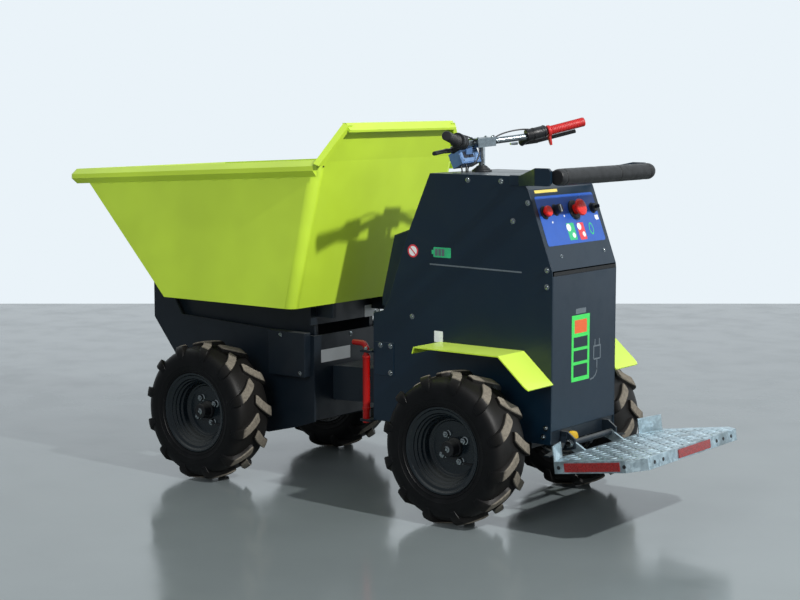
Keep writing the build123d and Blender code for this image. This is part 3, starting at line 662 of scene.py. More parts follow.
def build_rim(corner, sign):
    """A pressed steel wheel: rolled flanges, a drop centre stepping inwards, a valve and a flat disc."""
    barrel = [(143.5, 77.0), (143.8, 75.0), (143.8, 67.5), (141.5, 65.2), (127.4, 65.0), (127.2, 59.0),
              (126.5, -59.0), (127.4, -65.0), (141.5, -65.2), (143.8, -67.5), (143.8, -75.0), (143.5, -77.0),
              (139.5, -77.4), (136.0, -75.4), (133.0, -67.0), (124.6, -65.5), (121.0, -61.0)]
    disc = [(104.0, -6.0), (96.0, -4.0), (32.0, -4.0), (32.0, 4.0), (84.0, 4.0), (88.0, 5.2), (91.0, 9.0)]
    steps = [(96.0, 10.5), (98.5, 15.5), (99.5, 30.0), (103.6, 34.5), (105.5, 38.0), (106.5, 44.5),
             (110.6, 47.5), (113.0, 50.5), (114.5, 56.0), (118.4, 58.2), (121.0, 61.5), (122.4, 66.5),
             (127.0, 67.8), (132.6, 69.2), (136.0, 74.4), (139.5, 77.4), (143.5, 77.0)]
    bm = bmesh.new()
    turn_profile(bm, rounded(barrel + disc + steps, 2.2, 3), looking((0, 0, 0), (0, sign, 0)), 120)
    turn = radians(200)
    foot = at(112 * cos(turn), sign * 48, 112 * sin(turn))
    inward = Vector((-cos(turn), sign * 0.9, -sin(turn)))
    valve = [(5.5, -4), (5.2, 6), (3.8, 10), (3.8, 24), (4.4, 25), (4.4, 32), (3.4, 33.5), (0, 33.5)]
    turn_profile(bm, valve, looking(foot, inward), 16, 1)
    piece = settle("pressed_rim_" + corner, bm, "wheel_" + corner, ["wheel", "plastic"], 28,
                   wheel_place(corner))
    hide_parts("rim_" + corner)


def build_hub(corner, sign):
    """A cast hub with its cap and cotter nut, and four flanged wheel nuts on a 100 mm circle."""
    bm = bmesh.new()
    axle = looking((0, 0, 0), (0, sign, 0))
    barrel = [(20.2, -70), (40, -70), (40, -14), (64, -12), (64, -4.2), (32, -4.2), (32, 10), (30, 13),
              (27.6, 14.5), (27, 30), (26.5, 41), (25, 45), (21, 46.5), (0, 46.5)]
    turn_profile(bm, rounded(barrel, 1.6, 2), axle, 64)
    hexagon_nut(bm, axle @ Matrix.Translation(at(0, 0, 46)), 15, 0.8, 4.5, 1)
    for i in range(4):
        turn = radians(57 + 90 * i)
        nut_at = axle @ Matrix.Translation(at(-50 * cos(turn) * sign, 50 * sin(turn), 4.6))
        hexagon_nut(bm, nut_at, 19, 13, 5.2, 1)
    piece = settle("cast_hub_" + corner, bm, "wheel_" + corner, ["iron", "chrome"], 32,
                   wheel_place(corner))
    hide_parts("hub_" + corner)


# ---------------------------------------------------------------- skip
def stitch(bm, start, end, out, sizes, radius=0.0024):
    """Runs of weld at an even pitch between two points."""
    line = end - start
    count = int(line.length / sizes.weld_pitch)
    step = line / count
    along = line.normalized() * sizes.weld_run
    for i in range(count):
        first = start + step * (i + 0.5) - along / 2
        bead(bm, first, first + along, radius, out)


def build_skip_welds(sizes):
    """Stitch welds along the foot of the rim's slanting underside and under the floor, and drain plugs."""
    welds = bmesh.new()
    plugs = bmesh.new()
    for _, sign in SIDES:
        stitch(welds, drawn(20, sign * 396.4, 1113.2), drawn(1080, sign * 396.4, 1059.2),
               Vector((0, sign, 0.2)), sizes, 0.0032)
        stitch(welds, drawn(170, sign * 168.6, 653.4), drawn(690, sign * 168.6, 653.4), Vector((0, sign, -1)),
               sizes)
        for x, z in ((-48, 1150), (-41, 1144)):
            turn_profile(plugs, [(3.2, 0), (3.2, 0.6), (2.2, 0.9), (0, 0.9)],
                         looking(drawn(x, sign * 366, z), (-1, 0, -0.24)), 16)
    settle("skip_welds", welds, "skip", ["lime"], 60)
    settle("drain_plugs", plugs, "skip", ["plastic"])


# ---------------------------------------------------------------- trim of the two frames
def bolts(name, body, head, places):
    """A set of bolts of one size, each at a drawn point and looking along its own direction."""
    bm = bmesh.new()
    for point, direction in places:
        bolt(bm, looking(drawn(*point), direction), head)
    settle(name, bm, body, ["chrome"])


def build_frame_trim(sizes):
    """Bolts of the front frame and its side boxes, the console's panels and the lock bar's bracket."""
    head = sizes.bolt_head / MM
    frame_places = [((FRAME_BACK_X, -6, 521), BACKWARDS)]
    side_places = []
    for _, sign in SIDES:
        out = (0, sign, 0)
        frame_places += [((x, sign * 234, z), out) for x, z in ((272, 531), (180, 399))]
        side_places += [((x, sign * CONSOLE_Y, z), out) for x, z in (
            (-531, 1113), (-663, 1113), (-768, 1046), (-711, 985), (-844, 832), (-844, 778), (-844, 316),
            (-835, 287), (-300, 640))]
        side_places += [((x, sign * 203, z), out) for x, z in ((-164, 530), (-208, 530), (-208, 436))]
    bolts("front_frame_bolts", "front_chassis", head * 0.85, frame_places)
    bolts("carrier_bolt", "skip", head * 0.8, [((CARRIER_BACK_X, -170, 586), BACKWARDS)])
    bolts("console_bolts", "rear_chassis", head, side_places)
    bm = bmesh.new()
    pin = [(7, -9), (7, 9), (5.5, 11), (0, 11)]
    for z in (268, 512):
        turn_profile(bm, pin, looking(drawn(-101, 202, z), (-0.4, 1, 0)), 20)
    for y, z in ((150, 604), (112, 604), (150, 470)):
        bolt(bm, looking(drawn(-130, y, z), (1, 0, 0)), head)
    settle("lock_bar_pins", bm, "rear_chassis", ["chrome"])


def sticker(bm, wide, tall, where, mark=0, corner=2.0, thick=0.45):
    """A blank adhesive sign: a thin sheet with round corners."""
    prism(bm, oblong(wide, tall, corner), where, thick, mark)


def sticker_set(bm, where, fields):
    """Flat fields of one sign, laid off from the frame they share."""
    for across, up, wide, tall, foil, corner, thick in fields:
        sticker(bm, wide, tall, where @ Matrix.Translation(at(across, up, 0)), foil, corner, thick)


def build_signs():
    """Blank signs: each has the place, size and ground colour of a real one, and nothing on it."""
    plate_sign = bmesh.new()
    sticker(plate_sign, 165, 46, looking(drawn(FRAME_BACK_X, 78.5, 456), BACKWARDS))
    settle("rear_plate_sign", plate_sign, "front_chassis", ["white_foil"])
    carrier_sign = bmesh.new()
    sticker(carrier_sign, 84, 44, looking(drawn(CARRIER_BACK_X, -150, 592), BACKWARDS))
    settle("carrier_sign", carrier_sign, "skip", ["white_foil"])
    build_console_signs()
    build_gauge_sign()


def build_console_signs():
    """On the console's left side: a ring with a bar, a small battery, a thin line and a white square."""
    bm = bmesh.new()
    left = (0, 1, 0)
    ring_at = looking(drawn(-303, CONSOLE_Y, 865), left)
    prism(bm, circle(22, 48), ring_at, 0.4, 0)
    prism(bm, circle(16.5, 48), ring_at, 0.6, 1)
    sticker(bm, 34, 4, ring_at @ Matrix.Rotation(radians(-45), 4, "Z"), 0, 1, 0.9)
    sticker_set(bm, looking(drawn(-426, CONSOLE_Y, 866), left), (
        # across, up, wide, tall, foil, corner, thickness
        (-14, -286, 36, 38, 1, 2, 0.45), (0, 0, 72, 34, 2, 3, 0.45), (-40, 0, 7, 14, 2, 1, 0.45),
    ))
    cells_at = looking(drawn(-426, CONSOLE_Y + 0.4, 866), left)
    sticker_set(bm, cells_at, [(14 * i - 24, 0, 11, 24, 3, 1, 0.45) for i in range(3)])
    line_at = looking(drawn(-560, CONSOLE_Y, 822), left) @ Matrix.Rotation(radians(-0.8), 4, "Z")
    sticker(bm, 372, 5, line_at, 3, 1)
    settle("console_signs", bm, "rear_chassis",
           ["red_foil", "white_foil", "green_foil", "grey_foil"])


def build_gauge_sign():
    """On the rear cover: a tall green battery with crossbars and a grey plug on its lead beside it."""
    fields = [
        # across, up, wide, tall, foil, corner, thickness
        (0, 103, 111, 14, 0, 1, 0.5), (0, -103, 111, 14, 0, 1, 0.5), (0, 72, 96, 56, 0, 1, 0.55),
        (0, 72, 76, 44, 1, 1, 0.7), (0, 123, 63, 17, 2, 1, 0.45), (105, -5, 48, 5, 2, 1, 0.5),
        (105, -49, 40, 5, 2, 1, 0.5), (105, -68, 5, 36, 2, 1, 0.45),
    ]
    fields += [(0, up, 104, 10, 0, 1, 0.5) for up in (42, -3, -50)]
    for sign in (1, -1):
        fields += [(sign * 49.5, 0, 12, 220, 0, 1, 0.45), (105 + sign * 14, 7, 5, 22, 2, 1, 0.45),
                   (105 + sign * 21, -26, 5, 46, 2, 1, 0.45)]
    bm = bmesh.new()
    cover = looking(drawn(COVER_X, 25, 563), BACKWARDS)
    sticker_set(bm, cover, fields)
    for i in range(4):
        turn = radians(12 + 22 * i)
        bend = Matrix.Translation(at(61 + 44 * cos(turn), -84 - 30 * sin(turn), 0))
        sticker(bm, 5, 17, cover @ bend @ Matrix.Rotation(-turn, 4, "Z"), 2, 1, 0.45)
    settle("cover_gauge_sign", bm, "rear_chassis",
           ["bright_foil", "orange_foil", "grey_foil"])


# ---------------------------------------------------------------- control panel
PANEL_FOOT = Vector((-863.0, 0.0, 828.0))
PANEL_HEAD = Vector((-768.0, 0.0, 1088.0))
# share of the panel's height and distance left of its middle: the four controls
STOP_KNOB = (0.71, -34)
SMALL_KNOB = (0.71, 146)
ROTARY_KNOB = (0.73, 77)
KEY = (0.71, -152)


def panel_spot(share, y, lift=0.0):
    """A frame on the panel: share 0 at its foot and 1 at its head; Z leaves it, X runs to the right."""
    rise = PANEL_HEAD - PANEL_FOOT
    out = Vector((-rise.z, 0, rise.x)).normalized()
    point = PANEL_FOOT + rise * share + out * lift
    return looking(drawn(point.x, y, point.z), out)


def panel_patch(bm, top, bottom, left, right, mark, thick, corner=4.0):
    """A rectangle of foil between two shares of the panel's height and two distances from its middle."""
    tall = (top - bottom) * (PANEL_HEAD - PANEL_FOOT).length
    sticker(bm, left - right, tall, panel_spot((top + bottom) / 2, (left + right) / 2), mark, corner, thick)


def build_panel():
    """Foil with blank fields, a strip at its head, a bezel under each knob, and below the panel a dark strip
    of painted shade where its gap shows.
    """
    bm = bmesh.new()
    for patch in (
        # top, bottom, left, right, foil, thickness, corner
        (0.91, 0.30, 178, -178, 0, 0.5, 8),
        (0.554, 0.343, 39, -7, 1, 0.8, 4),
        (0.546, 0.334, -25, -66, 2, 0.8, 4),
        (0.62, 0.56, -150, -172, 3, 0.8, 4),
        (0.985, 0.95, 168, 32, 4, 0.8, 1),
    ):
        panel_patch(bm, *patch)
    for radius, narrow, lift, foil in ((21, 0.62, 0, 1), (16, 0.55, 0.3, 0)):
        prism(bm, [(x * narrow, y) for x, y in circle(radius, 36)], panel_spot(0.458, -108, lift), 0.8, foil)
    for share, y, radius in ((0.50, 28, 13), (0.50, -36, 12), (0.40, 8, 9), (0.40, -54, 9)):
        prism(bm, circle(radius, 28), panel_spot(share, y), 1.0, 3)
    for share, y in ((0.583, 114), (0.646, 35)):
        prism(bm, circle(3.4, 16), panel_spot(share, y), 1.2, 3)
    settle("panel_foil", bm, "rear_chassis",
           ["foil", "green_foil", "red_foil", "white_foil", "yellow_foil"])
    bm = bmesh.new()
    for share, y in ((0.168, 119), (0.174, -148)):
        bolt(bm, panel_spot(share, y), 9)
    settle("panel_screws", bm, "rear_chassis", ["chrome"])
    bm = bmesh.new()
    for spot, radius, tall, edge in ((STOP_KNOB, 33, 8.0, 3.0), (SMALL_KNOB, 22, 6.0, 2.0),
                                     (ROTARY_KNOB, 20, 3.0, 2.0), (KEY, 19, 3.0, 2.0)):
        turn_profile(bm, [(radius, 0), (radius, tall - edge), (radius - edge, tall), (radius * 0.55, tall)],
                     panel_spot(*spot), 40)
    # painted shade: a thin dark strip in the thread finish stands for the shadow in the gap under the panel's
    # foot
    sticker(bm, 386, 12, looking(drawn(COVER_X - 0.4, 0, 819), BACKWARDS), 1, 2, 0.8)
    settle("knob_bezels_and_painted_gap_shade", bm, "rear_chassis", ["plastic", "thread_and_gap_shade"])


def build_knobs():
    """Mushroom stop knob, a small red knob, a ribbed rotary knob and a key barrel with its key."""
    bm = bmesh.new()
    dish = [(17, 0), (17, 21), (24, 23), (28.6, 27), (29, 31), (27.4, 34.2), (23, 35.9), (12, 36.4),
            (0, 36.4)]
    turn_profile(bm, dish, panel_spot(*STOP_KNOB), 48)
    small = [(11.5, 0), (11.5, 11), (17.5, 12.5), (19, 15), (18.6, 20), (16.4, 23.2), (10, 24), (0, 24)]
    turn_profile(bm, small, panel_spot(*SMALL_KNOB), 40)
    knobs = settle("red_stop_knobs", bm, "rear_chassis", ["red_plastic"], 40)
    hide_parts("stop_knobs")
    bm = bmesh.new()
    rotary = panel_spot(*ROTARY_KNOB)
    rings = []
    for height, taper in ((0, 1.0), (23.5, 0.92)):
        ring = []
        for i, (x, y) in enumerate(circle(taper, 48)):
            rib = 15.4 + 0.6 * (i % 2)
            ring.append(bm.verts.new(rotary @ at(x * rib, y * rib, height)))
        rings.append(ring)
    skin(bm, rings, True)
    prism(bm, oblong(3.2, 24, 1.2), rotary @ Matrix.Translation(at(0, 0, 23)), 2.6, 1)
    key = panel_spot(*KEY)
    turn_profile(bm, [(15, 0), (15, 11), (13, 14), (6, 14), (6, 12), (0, 12)], key, 36)
    prism(bm, oblong(2.4, 11, 1), key @ Matrix.Translation(at(0, 0, 10)), 19.5, 0, 0.4)
    switches = settle("black_switches", bm, "rear_chassis", ["plastic", "white_foil"], 32)
    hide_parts("rotary_switches")


# ---------------------------------------------------------------- handlebar
# the bar's own axes: it stands over the column, turned and tilted a little as it was parked
COLUMN_X = -447.0
BAR_Z = 1231.0
STEER = (Matrix.Translation(drawn(COLUMN_X, 0, 0)) @ Matrix.Rotation(radians(-7.0), 4, "Z")
         @ Matrix.Translation(at(0, 0, BAR_Z)) @ Matrix.Rotation(radians(-3.0), 4, "X")
         @ Matrix.Translation(at(0, 0, -BAR_Z)))
GRIP_START = Vector((-96.0, -232.0, 1254.0))
GRIP_END = Vector((-160.0, -345.0, 1279.0))
BLOCK_START = Vector((-58.0, -164.0, 1243.0))
BLOCK_END = Vector((-92.0, -225.0, 1256.0))


def steer(x, y, z):
    """A direction in the bar's own axes, as it points on the machine."""
    return STEER.to_3x3() @ Vector((x, y, z))


def other_side(point, sign):
    """The point, or its mirror image on the other side of the bar."""
    return Vector((point.x, point.y * sign, point.z))


def build_grips():
    """Two rubber grips: a collar, a ribbed sleeve and a domed end with its plug."""
    for side, sign in (("right", 1), ("left", -1)):
        start = other_side(GRIP_START, sign) * MM
        end = other_side(GRIP_END, sign) * MM
        length = (end - start).length / MM
        profile = [(11.1, 0), (19, 0), (20, 1.2), (20, 9), (18.4, 11.5), (15.2, 13)]
        z = 14.0
        while z < length - 4:
            profile += [(15.9, z), (15.9, z + 3.6), (14.9, z + 4.2), (14.9, z + 5.4)]
            z += 6.0
        profile += [(16, length), (16, length + 4), (14.5, length + 7), (8, length + 8), (0, length + 8)]
        bm = bmesh.new()
        turn_profile(bm, profile, looking(STEER @ start, steer(*(end - start))), 36)
        finish = "grip_red" if side == "right" else "grip_black"
        grip = settle("ribbed_grip_" + side, bm, "handlebar", [finish], 50)
        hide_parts("grip_" + side)


def build_bar_screws():
    """Clamp screws, and on each side a lever's pivot and the ferrule of its cable."""
    bm = bmesh.new()
    up = steer(0, 0, 1)
    for x in (-15, 15):
        for y in (-36, 36):
            bolt(bm, looking(STEER @ at(x, y, 1246), up), 9)
    for sign in (1, -1):
        pivot = STEER @ at(-24, -176 * sign, 1226)
        turn_profile(bm, [(6, 0), (6, 3), (4.5, 4.5), (0, 4.5)], looking(pivot, up), 20)
        ferrule = [STEER @ at(x, y * sign, 1216) for x, y in ((-20, -160), (-16, -146), (-12, -132))]
        round_tube(bm, ferrule, (0.0052, 0.0052, 0.0036), 14)
    settle("bar_screws", bm, "handlebar", ["chrome"])


def build_switch_rings():
    """Two cable ties with their lock, and the seams and buttons of the switch blocks."""
    bm = bmesh.new()
    for y in (-52, -60):
        turn_profile(bm, [(11.2, -2.4), (13.4, -2.0), (13.6, 0), (13.4, 2.0), (11.2, 2.4)],
                     looking(STEER @ at(-1, y, 1232), steer(-0.15, -1, 0.1)), 28)
    prism(bm, oblong(5, 9, 1.5), looking(STEER @ at(-2, -56, 1244), steer(0, 0, 1)), 7, 0, 0.8)
    for sign, radius in ((1, 20), (-1, 24)):
        start = other_side(BLOCK_START, sign)
        end = other_side(BLOCK_END, sign)
        run = steer(*(end - start))
        seam = [(radius - 1, -1.5), (radius + 1.1, -1.2), (radius + 1.4, 0), (radius + 1.1, 1.2),
                (radius - 1, 1.5)]
        for share in (0.04, 0.34, 0.40, 0.93):
            turn_profile(bm, seam, looking(STEER @ (start.lerp(end, share) * MM), run), 40)
        out = steer(-0.85, -0.1 * sign, 0.5).normalized()
        for share, size in ((0.2, 5.5), (0.66, 7.0)):
            spot = STEER @ (start.lerp(end, share) * MM) + out * (radius - 1) * MM
            turn_profile(bm, [(size, 0), (size, 2.6), (size - 1, 3.6), (0, 3.6)], looking(spot, out), 20)
    settle("switch_rings", bm, "handlebar", ["plastic"])


def build_throttle_fin():
    """The red thumb fin at the inner end of the right grip."""
    bm = bmesh.new()
    fin = [(-11, 6), (11, 6), (9, -26), (4, -38), (-5, -38), (-9, -26)]
    root = STEER @ (GRIP_START.lerp(GRIP_END, 0.02) * MM) - steer(0, 0, 12) * MM
    prism(bm, fin, looking(root, steer(*(GRIP_END - GRIP_START))), 7, 0, 1.5)
    settle("throttle_fin", bm, "handlebar", ["grip_red"])


def build_display_face():
    """The display box's bezel with its dark window and three screws."""
    bm = bmesh.new()
    face = STEER @ Matrix.Translation(at(23, 64, 1181)) @ Matrix.Rotation(radians(25), 4, "Y")
    window = face @ looking(at(-24, 0, 0), BACKWARDS)
    prism(bm, oblong(84, 42, 5), window, 0.8, 0, 0.3)
    prism(bm, oblong(50, 24, 3), window @ Matrix.Translation(at(-6, 4, 0)), 1.3, 1)
    for x, y in ((-36, -15), (36, -15), (36, 15)):
        prism(bm, circle(2.4, 14), window @ Matrix.Translation(at(x, y, 0)), 1.6, 2)
    settle("display_face", bm, "handlebar", ["display_rim", "window", "plastic"])


def build_boot():
    """A moulded rubber boot: flanged foot, three folds and a lip round the column."""
    profile = [(11.1, 0), (34, 0), (34.8, 1.2), (34.6, 5), (32, 7.2), (28, 8.2), (28.5, 10.2), (26.6, 11.4),
               (23.6, 12), (23.6, 13.2), (22.8, 14.8), (19.6, 15.4), (19.8, 17), (19, 18.8), (14.6, 20),
               (14.2, 21.8), (11.1, 21.9)]
    bm = bmesh.new()
    turn_profile(bm, rounded(profile, 0.9, 2), looking(drawn(COLUMN_X, 0, 1131), (0, 0, 1)), 56)
    boot = settle("folded_boot", bm, "rear_chassis", ["boot"], 50)
    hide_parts("steering_boot")


# ---------------------------------------------------------------- back pad
SEAMS = (-0.068, 0.262, -0.262)


def pad_cover(radius, half):
    """The slack cover before it is filled: a roll with close ends and soft crumples, in even small faces."""
    rings = 44
    profile = [(0, -half / MM)]
    for i in range(rings + 1):
        z = -half + 2 * half * i / rings
        close = min(half - abs(z), 0.012) / 0.012
        crumple = 1 + 0.010 * sin(z * 61 + 0.7) + 0.007 * sin(z * 143 + 2.1)
        profile.append((radius / MM * (0.86 + 0.12 * sqrt(close)) * crumple, z / MM))
    profile.append((0, half / MM))
    bm = bmesh.new()
    turn_profile(bm, profile, looking((0, 0, 0), (0, 1, 0)), 40)
    for vertex in bm.verts:
        swirl = 1 + 0.012 * sin(vertex.co.y * 96 + vertex.co.x * 160 + 1.3) * sin(vertex.co.z * 130 + 0.4)
        vertex.co.x *= swirl
        vertex.co.z *= swirl
    mesh = bpy.data.meshes.new("back_roll")
    bm.to_mesh(mesh)
    bm.free()
    roll = bpy.data.objects.new("back_roll", mesh)
    bpy.context.scene.collection.objects.link(roll)
    mesh.remesh_voxel_size = 0.005
    with bpy.context.temp_override(object=roll, active_object=roll, selected_objects=[roll]):
        bpy.ops.object.voxel_remesh()
    return roll


def build_pad():
    """The operator's back roll: foam in coated cloth, filled by a cloth run, with sewn ends and one seam."""
    low, high = (Vector(corner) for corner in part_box("back_pad"))
    middle = (low + high) / 2
    half = (high.y - low.y) / 2 - 0.002
    radius = (high.z - low.z) / 2
    roll = pad_cover(radius, half)
    fill_with_cloth(roll, 0.006)
    fine = roll.modifiers.new("fine", "SUBSURF")
    fine.levels = 1
    fine.render_levels = 1
    bake_modifiers(roll)
    limit = radius - 0.0008
    plump = 0.985 * radius / max(hypot(vertex.co.x, vertex.co.z) for vertex in roll.data.vertices)
    for vertex in roll.data.vertices:
        out = hypot(vertex.co.x, vertex.co.z)
        groove = 0.0016 * sum(max(0.0, 1 - abs(vertex.co.y - seam) / 0.004) for seam in SEAMS)
        want = min(out * max(plump, 1.0), limit) - groove
        if out > 0.004:
            vertex.co.x *= want / out
            vertex.co.z *= want / out
        vertex.co.y = max(-half, min(half, vertex.co.y))
    roll.data.shade_smooth()
    roll.data.materials.clear()
    roll.data.materials.append(FINISH["cover"])
    roll.location = middle
    bpy.context.view_layer.update()
    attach(roll, "rear_chassis")
    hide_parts("back_pad")
    bm = bmesh.new()
    base = radius / MM - 3.2
    for seam in SEAMS:
        profile = [(base, -1.2), (base + 1.6, -0.9), (base + 2.1, 0), (base + 1.6, 0.9), (base, 1.2)]
        turn_profile(bm, profile, looking(middle + Vector((0, seam, 0)), (0, 1, 0)), 72)
    settle("pad_seams", bm, "rear_chassis", ["thread_and_gap_shade"])


def bake_modifiers(shape):
    """Applies every modifier, so that the mesh is left as it shows."""
    solved = bpy.data.meshes.new_from_object(shape.evaluated_get(bpy.context.evaluated_depsgraph_get()))
    shape.modifiers.clear()
    shape.data = solved


def fill_with_cloth(shape, cap):
    """Blows the cover up by cloth pressure for 20 frames and lets no point move by more than the cap."""
    start = [vertex.co.copy() for vertex in shape.data.vertices]
    cloth = shape.modifiers.new("filling", "CLOTH")
    cloth.settings.use_pressure = True
    cloth.settings.uniform_pressure_force = 4.0
    cloth.settings.effector_weights.gravity = 0.0
    cloth.settings.quality = 5
    cloth.settings.tension_stiffness = 18.0
    cloth.settings.compression_stiffness = 18.0
    cloth.settings.bending_stiffness = 0.4
    for number in range(1, 21):
        bpy.context.scene.frame_set(number)
    bake_modifiers(shape)
    bpy.context.scene.frame_set(1)
    for vertex, place_was in zip(shape.data.vertices, start):
        move = vertex.co - place_was
        if move.length > cap:
            vertex.co = place_was + move.normalized() * cap


# ---------------------------------------------------------------- step
# the deck's own axes: its front edge, level across and falling a little to the rear
STEP_FRONT = (-945.0, 0.0, 243.0)
STEP_FALL = radians(8.25)
STEP = Matrix.Translation(drawn(*STEP_FRONT)) @ Matrix.Rotation(STEP_FALL, 4, "Y")


def on_deck(x, y):
    """Whether a raised bar at this spot of the deck keeps clear of its cut corners."""
    rear_cut = max(0.0, -x - 262.0)
    return abs(y) <= 322 - rear_cut and abs(y) - 245 <= 2.9 * (-x - 4)


def raised_bar(bm, where, half):
    """A pointed bar pressed up out of the plate, with sloping sides."""
    outline = [(half, 0), (half * 0.6, 3.4), (-half * 0.6, 3.4), (-half, 0), (-half * 0.6, -3.4),
               (half * 0.6, -3.4)]
    foot = [bm.verts.new(where @ at(u, v, -0.2)) for u, v in outline]
    top = [bm.verts.new(where @ at(u * 0.84, v * 0.6, 1.5)) for u, v in outline]
    bm.faces.new(top)
    for i in range(6):
        j = (i + 1) % 6
        bm.faces.new((foot[i], foot[j], top[j], top[i]))


def build_step_tread(sizes):
    """Raised bars of the tread plate in crossed pairs, plugs in its skirt, and the hinge's nuts."""
    bm = bmesh.new()
    half = sizes.tread_bar / MM / 2
    pitch = 33.0
    for row in range(10):
        for column in range(-10, 11):
            x = -14.0 - row * pitch
            y = column * pitch
            if not on_deck(x, y):
                continue
            slant = radians(45 if (row + column) % 2 else -45)
            raised_bar(bm, STEP @ Matrix.Translation(at(x, y, 0)) @ Matrix.Rotation(slant, 4, "Z"), half)
    settle("tread_bars", bm, "step", ["galvanised"], 25)
    bm = bmesh.new()
    holes = [(-334.2, y, (-1, 0, 0)) for y in (201.4, -152.95, -199.5, -254.6, 254.6)]
    holes += [(x, sign * 345.1, (0, sign, 0)) for sign in (1, -1) for x in (-40, -278)]
    for x, y, out in holes:
        turn_profile(bm, [(6.2, 0), (6.2, 0.5), (4.6, 0.7), (0, 0.2)],
                     looking(STEP @ at(x, y, -19), STEP.to_3x3() @ Vector(out)), 24)
    settle("skirt_plugs", bm, "step", ["plastic"])
    bm = bmesh.new()
    for sign in (1, -1):
        pivot = looking(drawn(-897, sign * 134, 262), (0, sign, 0))
        turn_profile(bm, [(15, 0.4), (15, 2.4), (12, 2.6), (12, 9), (10, 11), (0, 11)], pivot, 32)
    settle("hinge_nuts", bm, "rear_chassis", ["chrome"])


# ---------------------------------------------------------------- stage
HEADING = radians(-52.37)
PITCH = radians(6.83)
CAMERA_AT = Vector((-3.787, 4.857, 1.397))


def build_floor(colour):
    """Sealed concrete with round corners: even pale grey, a faint cloud in its tone and a dull shine."""
    bm = bmesh.new()
    prism(bm, oblong(10600, 10600, 2600, 24),
          Matrix.Rotation(HEADING, 4, "Z") @ Matrix.Translation((0, 0, -0.02)), 20)
    mesh = bpy.data.meshes.new("floor")
    bm.to_mesh(mesh)
    bm.free()
    floor = bpy.data.objects.new("floor", mesh)
    bpy.context.scene.collection.objects.link(floor)
    material, tree, shader = start_material("sealed_concrete", Metallic=0.0, IOR=1.45)
    cloudy_colour(tree, shader, colour, 0.93, 700, 4.0)
    cloudy_shine(tree, shader, 260, 5.0, 0.10, 0.20)
    mesh.materials.append(material)


def build_surround(wall_colour, fill):
    """Even light from all sides, less from the ceiling, and a pale wall that is seen and mirrored."""
    world = bpy.data.worlds.new("surround")
    bpy.context.scene.world = world
    world.use_nodes = True
    tree = world.node_tree
    tree.nodes.clear()
    ray = add(tree, "ShaderNodeLightPath")
    seen = add(tree, "ShaderNodeMath", {0: ray.outputs["Is Camera Ray"], 1: ray.outputs["Is Glossy Ray"]},
               operation="ADD")
    seen = add(tree, "ShaderNodeMath", {0: seen.outputs[0], 1: ray.outputs["Is Transmission Ray"]},
               operation="ADD", use_clamp=True)
    towards = add(tree, "ShaderNodeTexCoord").outputs["Generated"]
    split = add(tree, "ShaderNodeSeparateXYZ", {"Vector": towards})
    height = ramp(tree, split.outputs["Z"], 0.25, 0.95, fill, fill * 0.42)
    even = add(tree, "ShaderNodeBackground", {"Strength": height}, Color=(0.94, 0.97, 1.0, 1.0))
    # the pale wall stands beyond the machine's right side; what is mirrored from the open left side is dim
    dim = ramp(tree, split.outputs["Y"], -0.15, 0.35, 1.0, 0.22)
    strength = add(tree, "ShaderNodeMath", {0: ray.outputs["Is Camera Ray"], 1: dim}, operation="MAXIMUM")
    wall = add(tree, "ShaderNodeBackground", {"Strength": strength.outputs[0]}, Color=linear(wall_colour))
    mix = add(tree, "ShaderNodeMixShader", {0: seen.outputs[0], 1: even.outputs[0], 2: wall.outputs[0]})
    out = tree.nodes.new("ShaderNodeOutputWorld")
    tree.links.new(mix.outputs[0], out.inputs["Surface"])


def build_lamps(key):
    """A small key lamp high behind the console, and two wide dim lamps that no surface mirrors."""
    lamps = (
        # name, place, target, size in m, watts, colour
        ("key", (-4.55, 0.66, 3.85), (0.0, 0.1, 0.8), 0.16, key, (1.0, 0.985, 0.96)),
        ("side", (-1.4, 6.6, 3.2), (0.1, 0.3, 0.7), 3.2, key * 0.52, (1.0, 1.0, 1.0)),
        ("top", (0.2, 0.4, 4.6), (0.0, 0.0, 0.6), 3.6, key * 0.06, (0.96, 0.98, 1.0)),
    )
    for name, spot, target, size, watts, colour in lamps:
        lamp = bpy.data.lights.new(name, "AREA")
        lamp.shape = "DISK"
        lamp.size = size
        lamp.energy = watts
        lamp.color = colour
        holder = bpy.data.objects.new(name, lamp)
        holder.location = spot
        holder.visible_glossy = name == "key"
        holder.rotation_euler = (Vector(target) - Vector(spot)).to_track_quat("-Z", "Y").to_euler()
        bpy.context.scene.collection.objects.link(holder)


def build_camera():
    """A long lens at standing height, looking across the machine from its left rear."""
    lens = bpy.data.cameras.new("camera")
    lens.sensor_width = 36.0
    lens.lens = 77.67
    lens.clip_end = 60.0
    eye = bpy.data.objects.new("camera", lens)
    eye.location = CAMERA_AT
    view = Vector((cos(HEADING) * cos(PITCH), sin(HEADING) * cos(PITCH), -sin(PITCH)))
    eye.rotation_euler = view.to_track_quat("-Z", "Y").to_euler()
    bpy.context.scene.collection.objects.link(eye)
    bpy.context.scene.camera = eye
    bpy.context.scene.view_settings.view_transform = "Standard"


# ---------------------------------------------------------------- operators and panel
class DUMPER_OT_finishes(bpy.types.Operator):
    """Build the finishes and give them to the frame's own pieces"""

    bl_idname = "dumper.finishes"
    bl_label = "Finishes"

    def execute(self, context):
        make_finishes(context.scene.dumper_finish)
        finish_frame()
        return {"FINISHED"}


class DUMPER_OT_wheels(bpy.types.Operator):
    """Build the four lug tyres, pressed rims and hubs"""

    bl_idname = "dumper.wheels"
    bl_label = "Wheels"

    def execute(self, context):
        for end in ENDS:
            for side, sign in SIDES:
                corner = end + "_" + side
                build_tyre(corner, context.scene.dumper_sizes)
                build_rim(corner, sign)
                build_hub(corner, sign)
        return {"FINISHED"}


class DUMPER_OT_skip(bpy.types.Operator):
    """Weld the skip's lip and carrier"""

    bl_idname = "dumper.skip"
    bl_label = "Skip trim"

    def execute(self, context):
        build_skip_welds(context.scene.dumper_sizes)
        return {"FINISHED"}


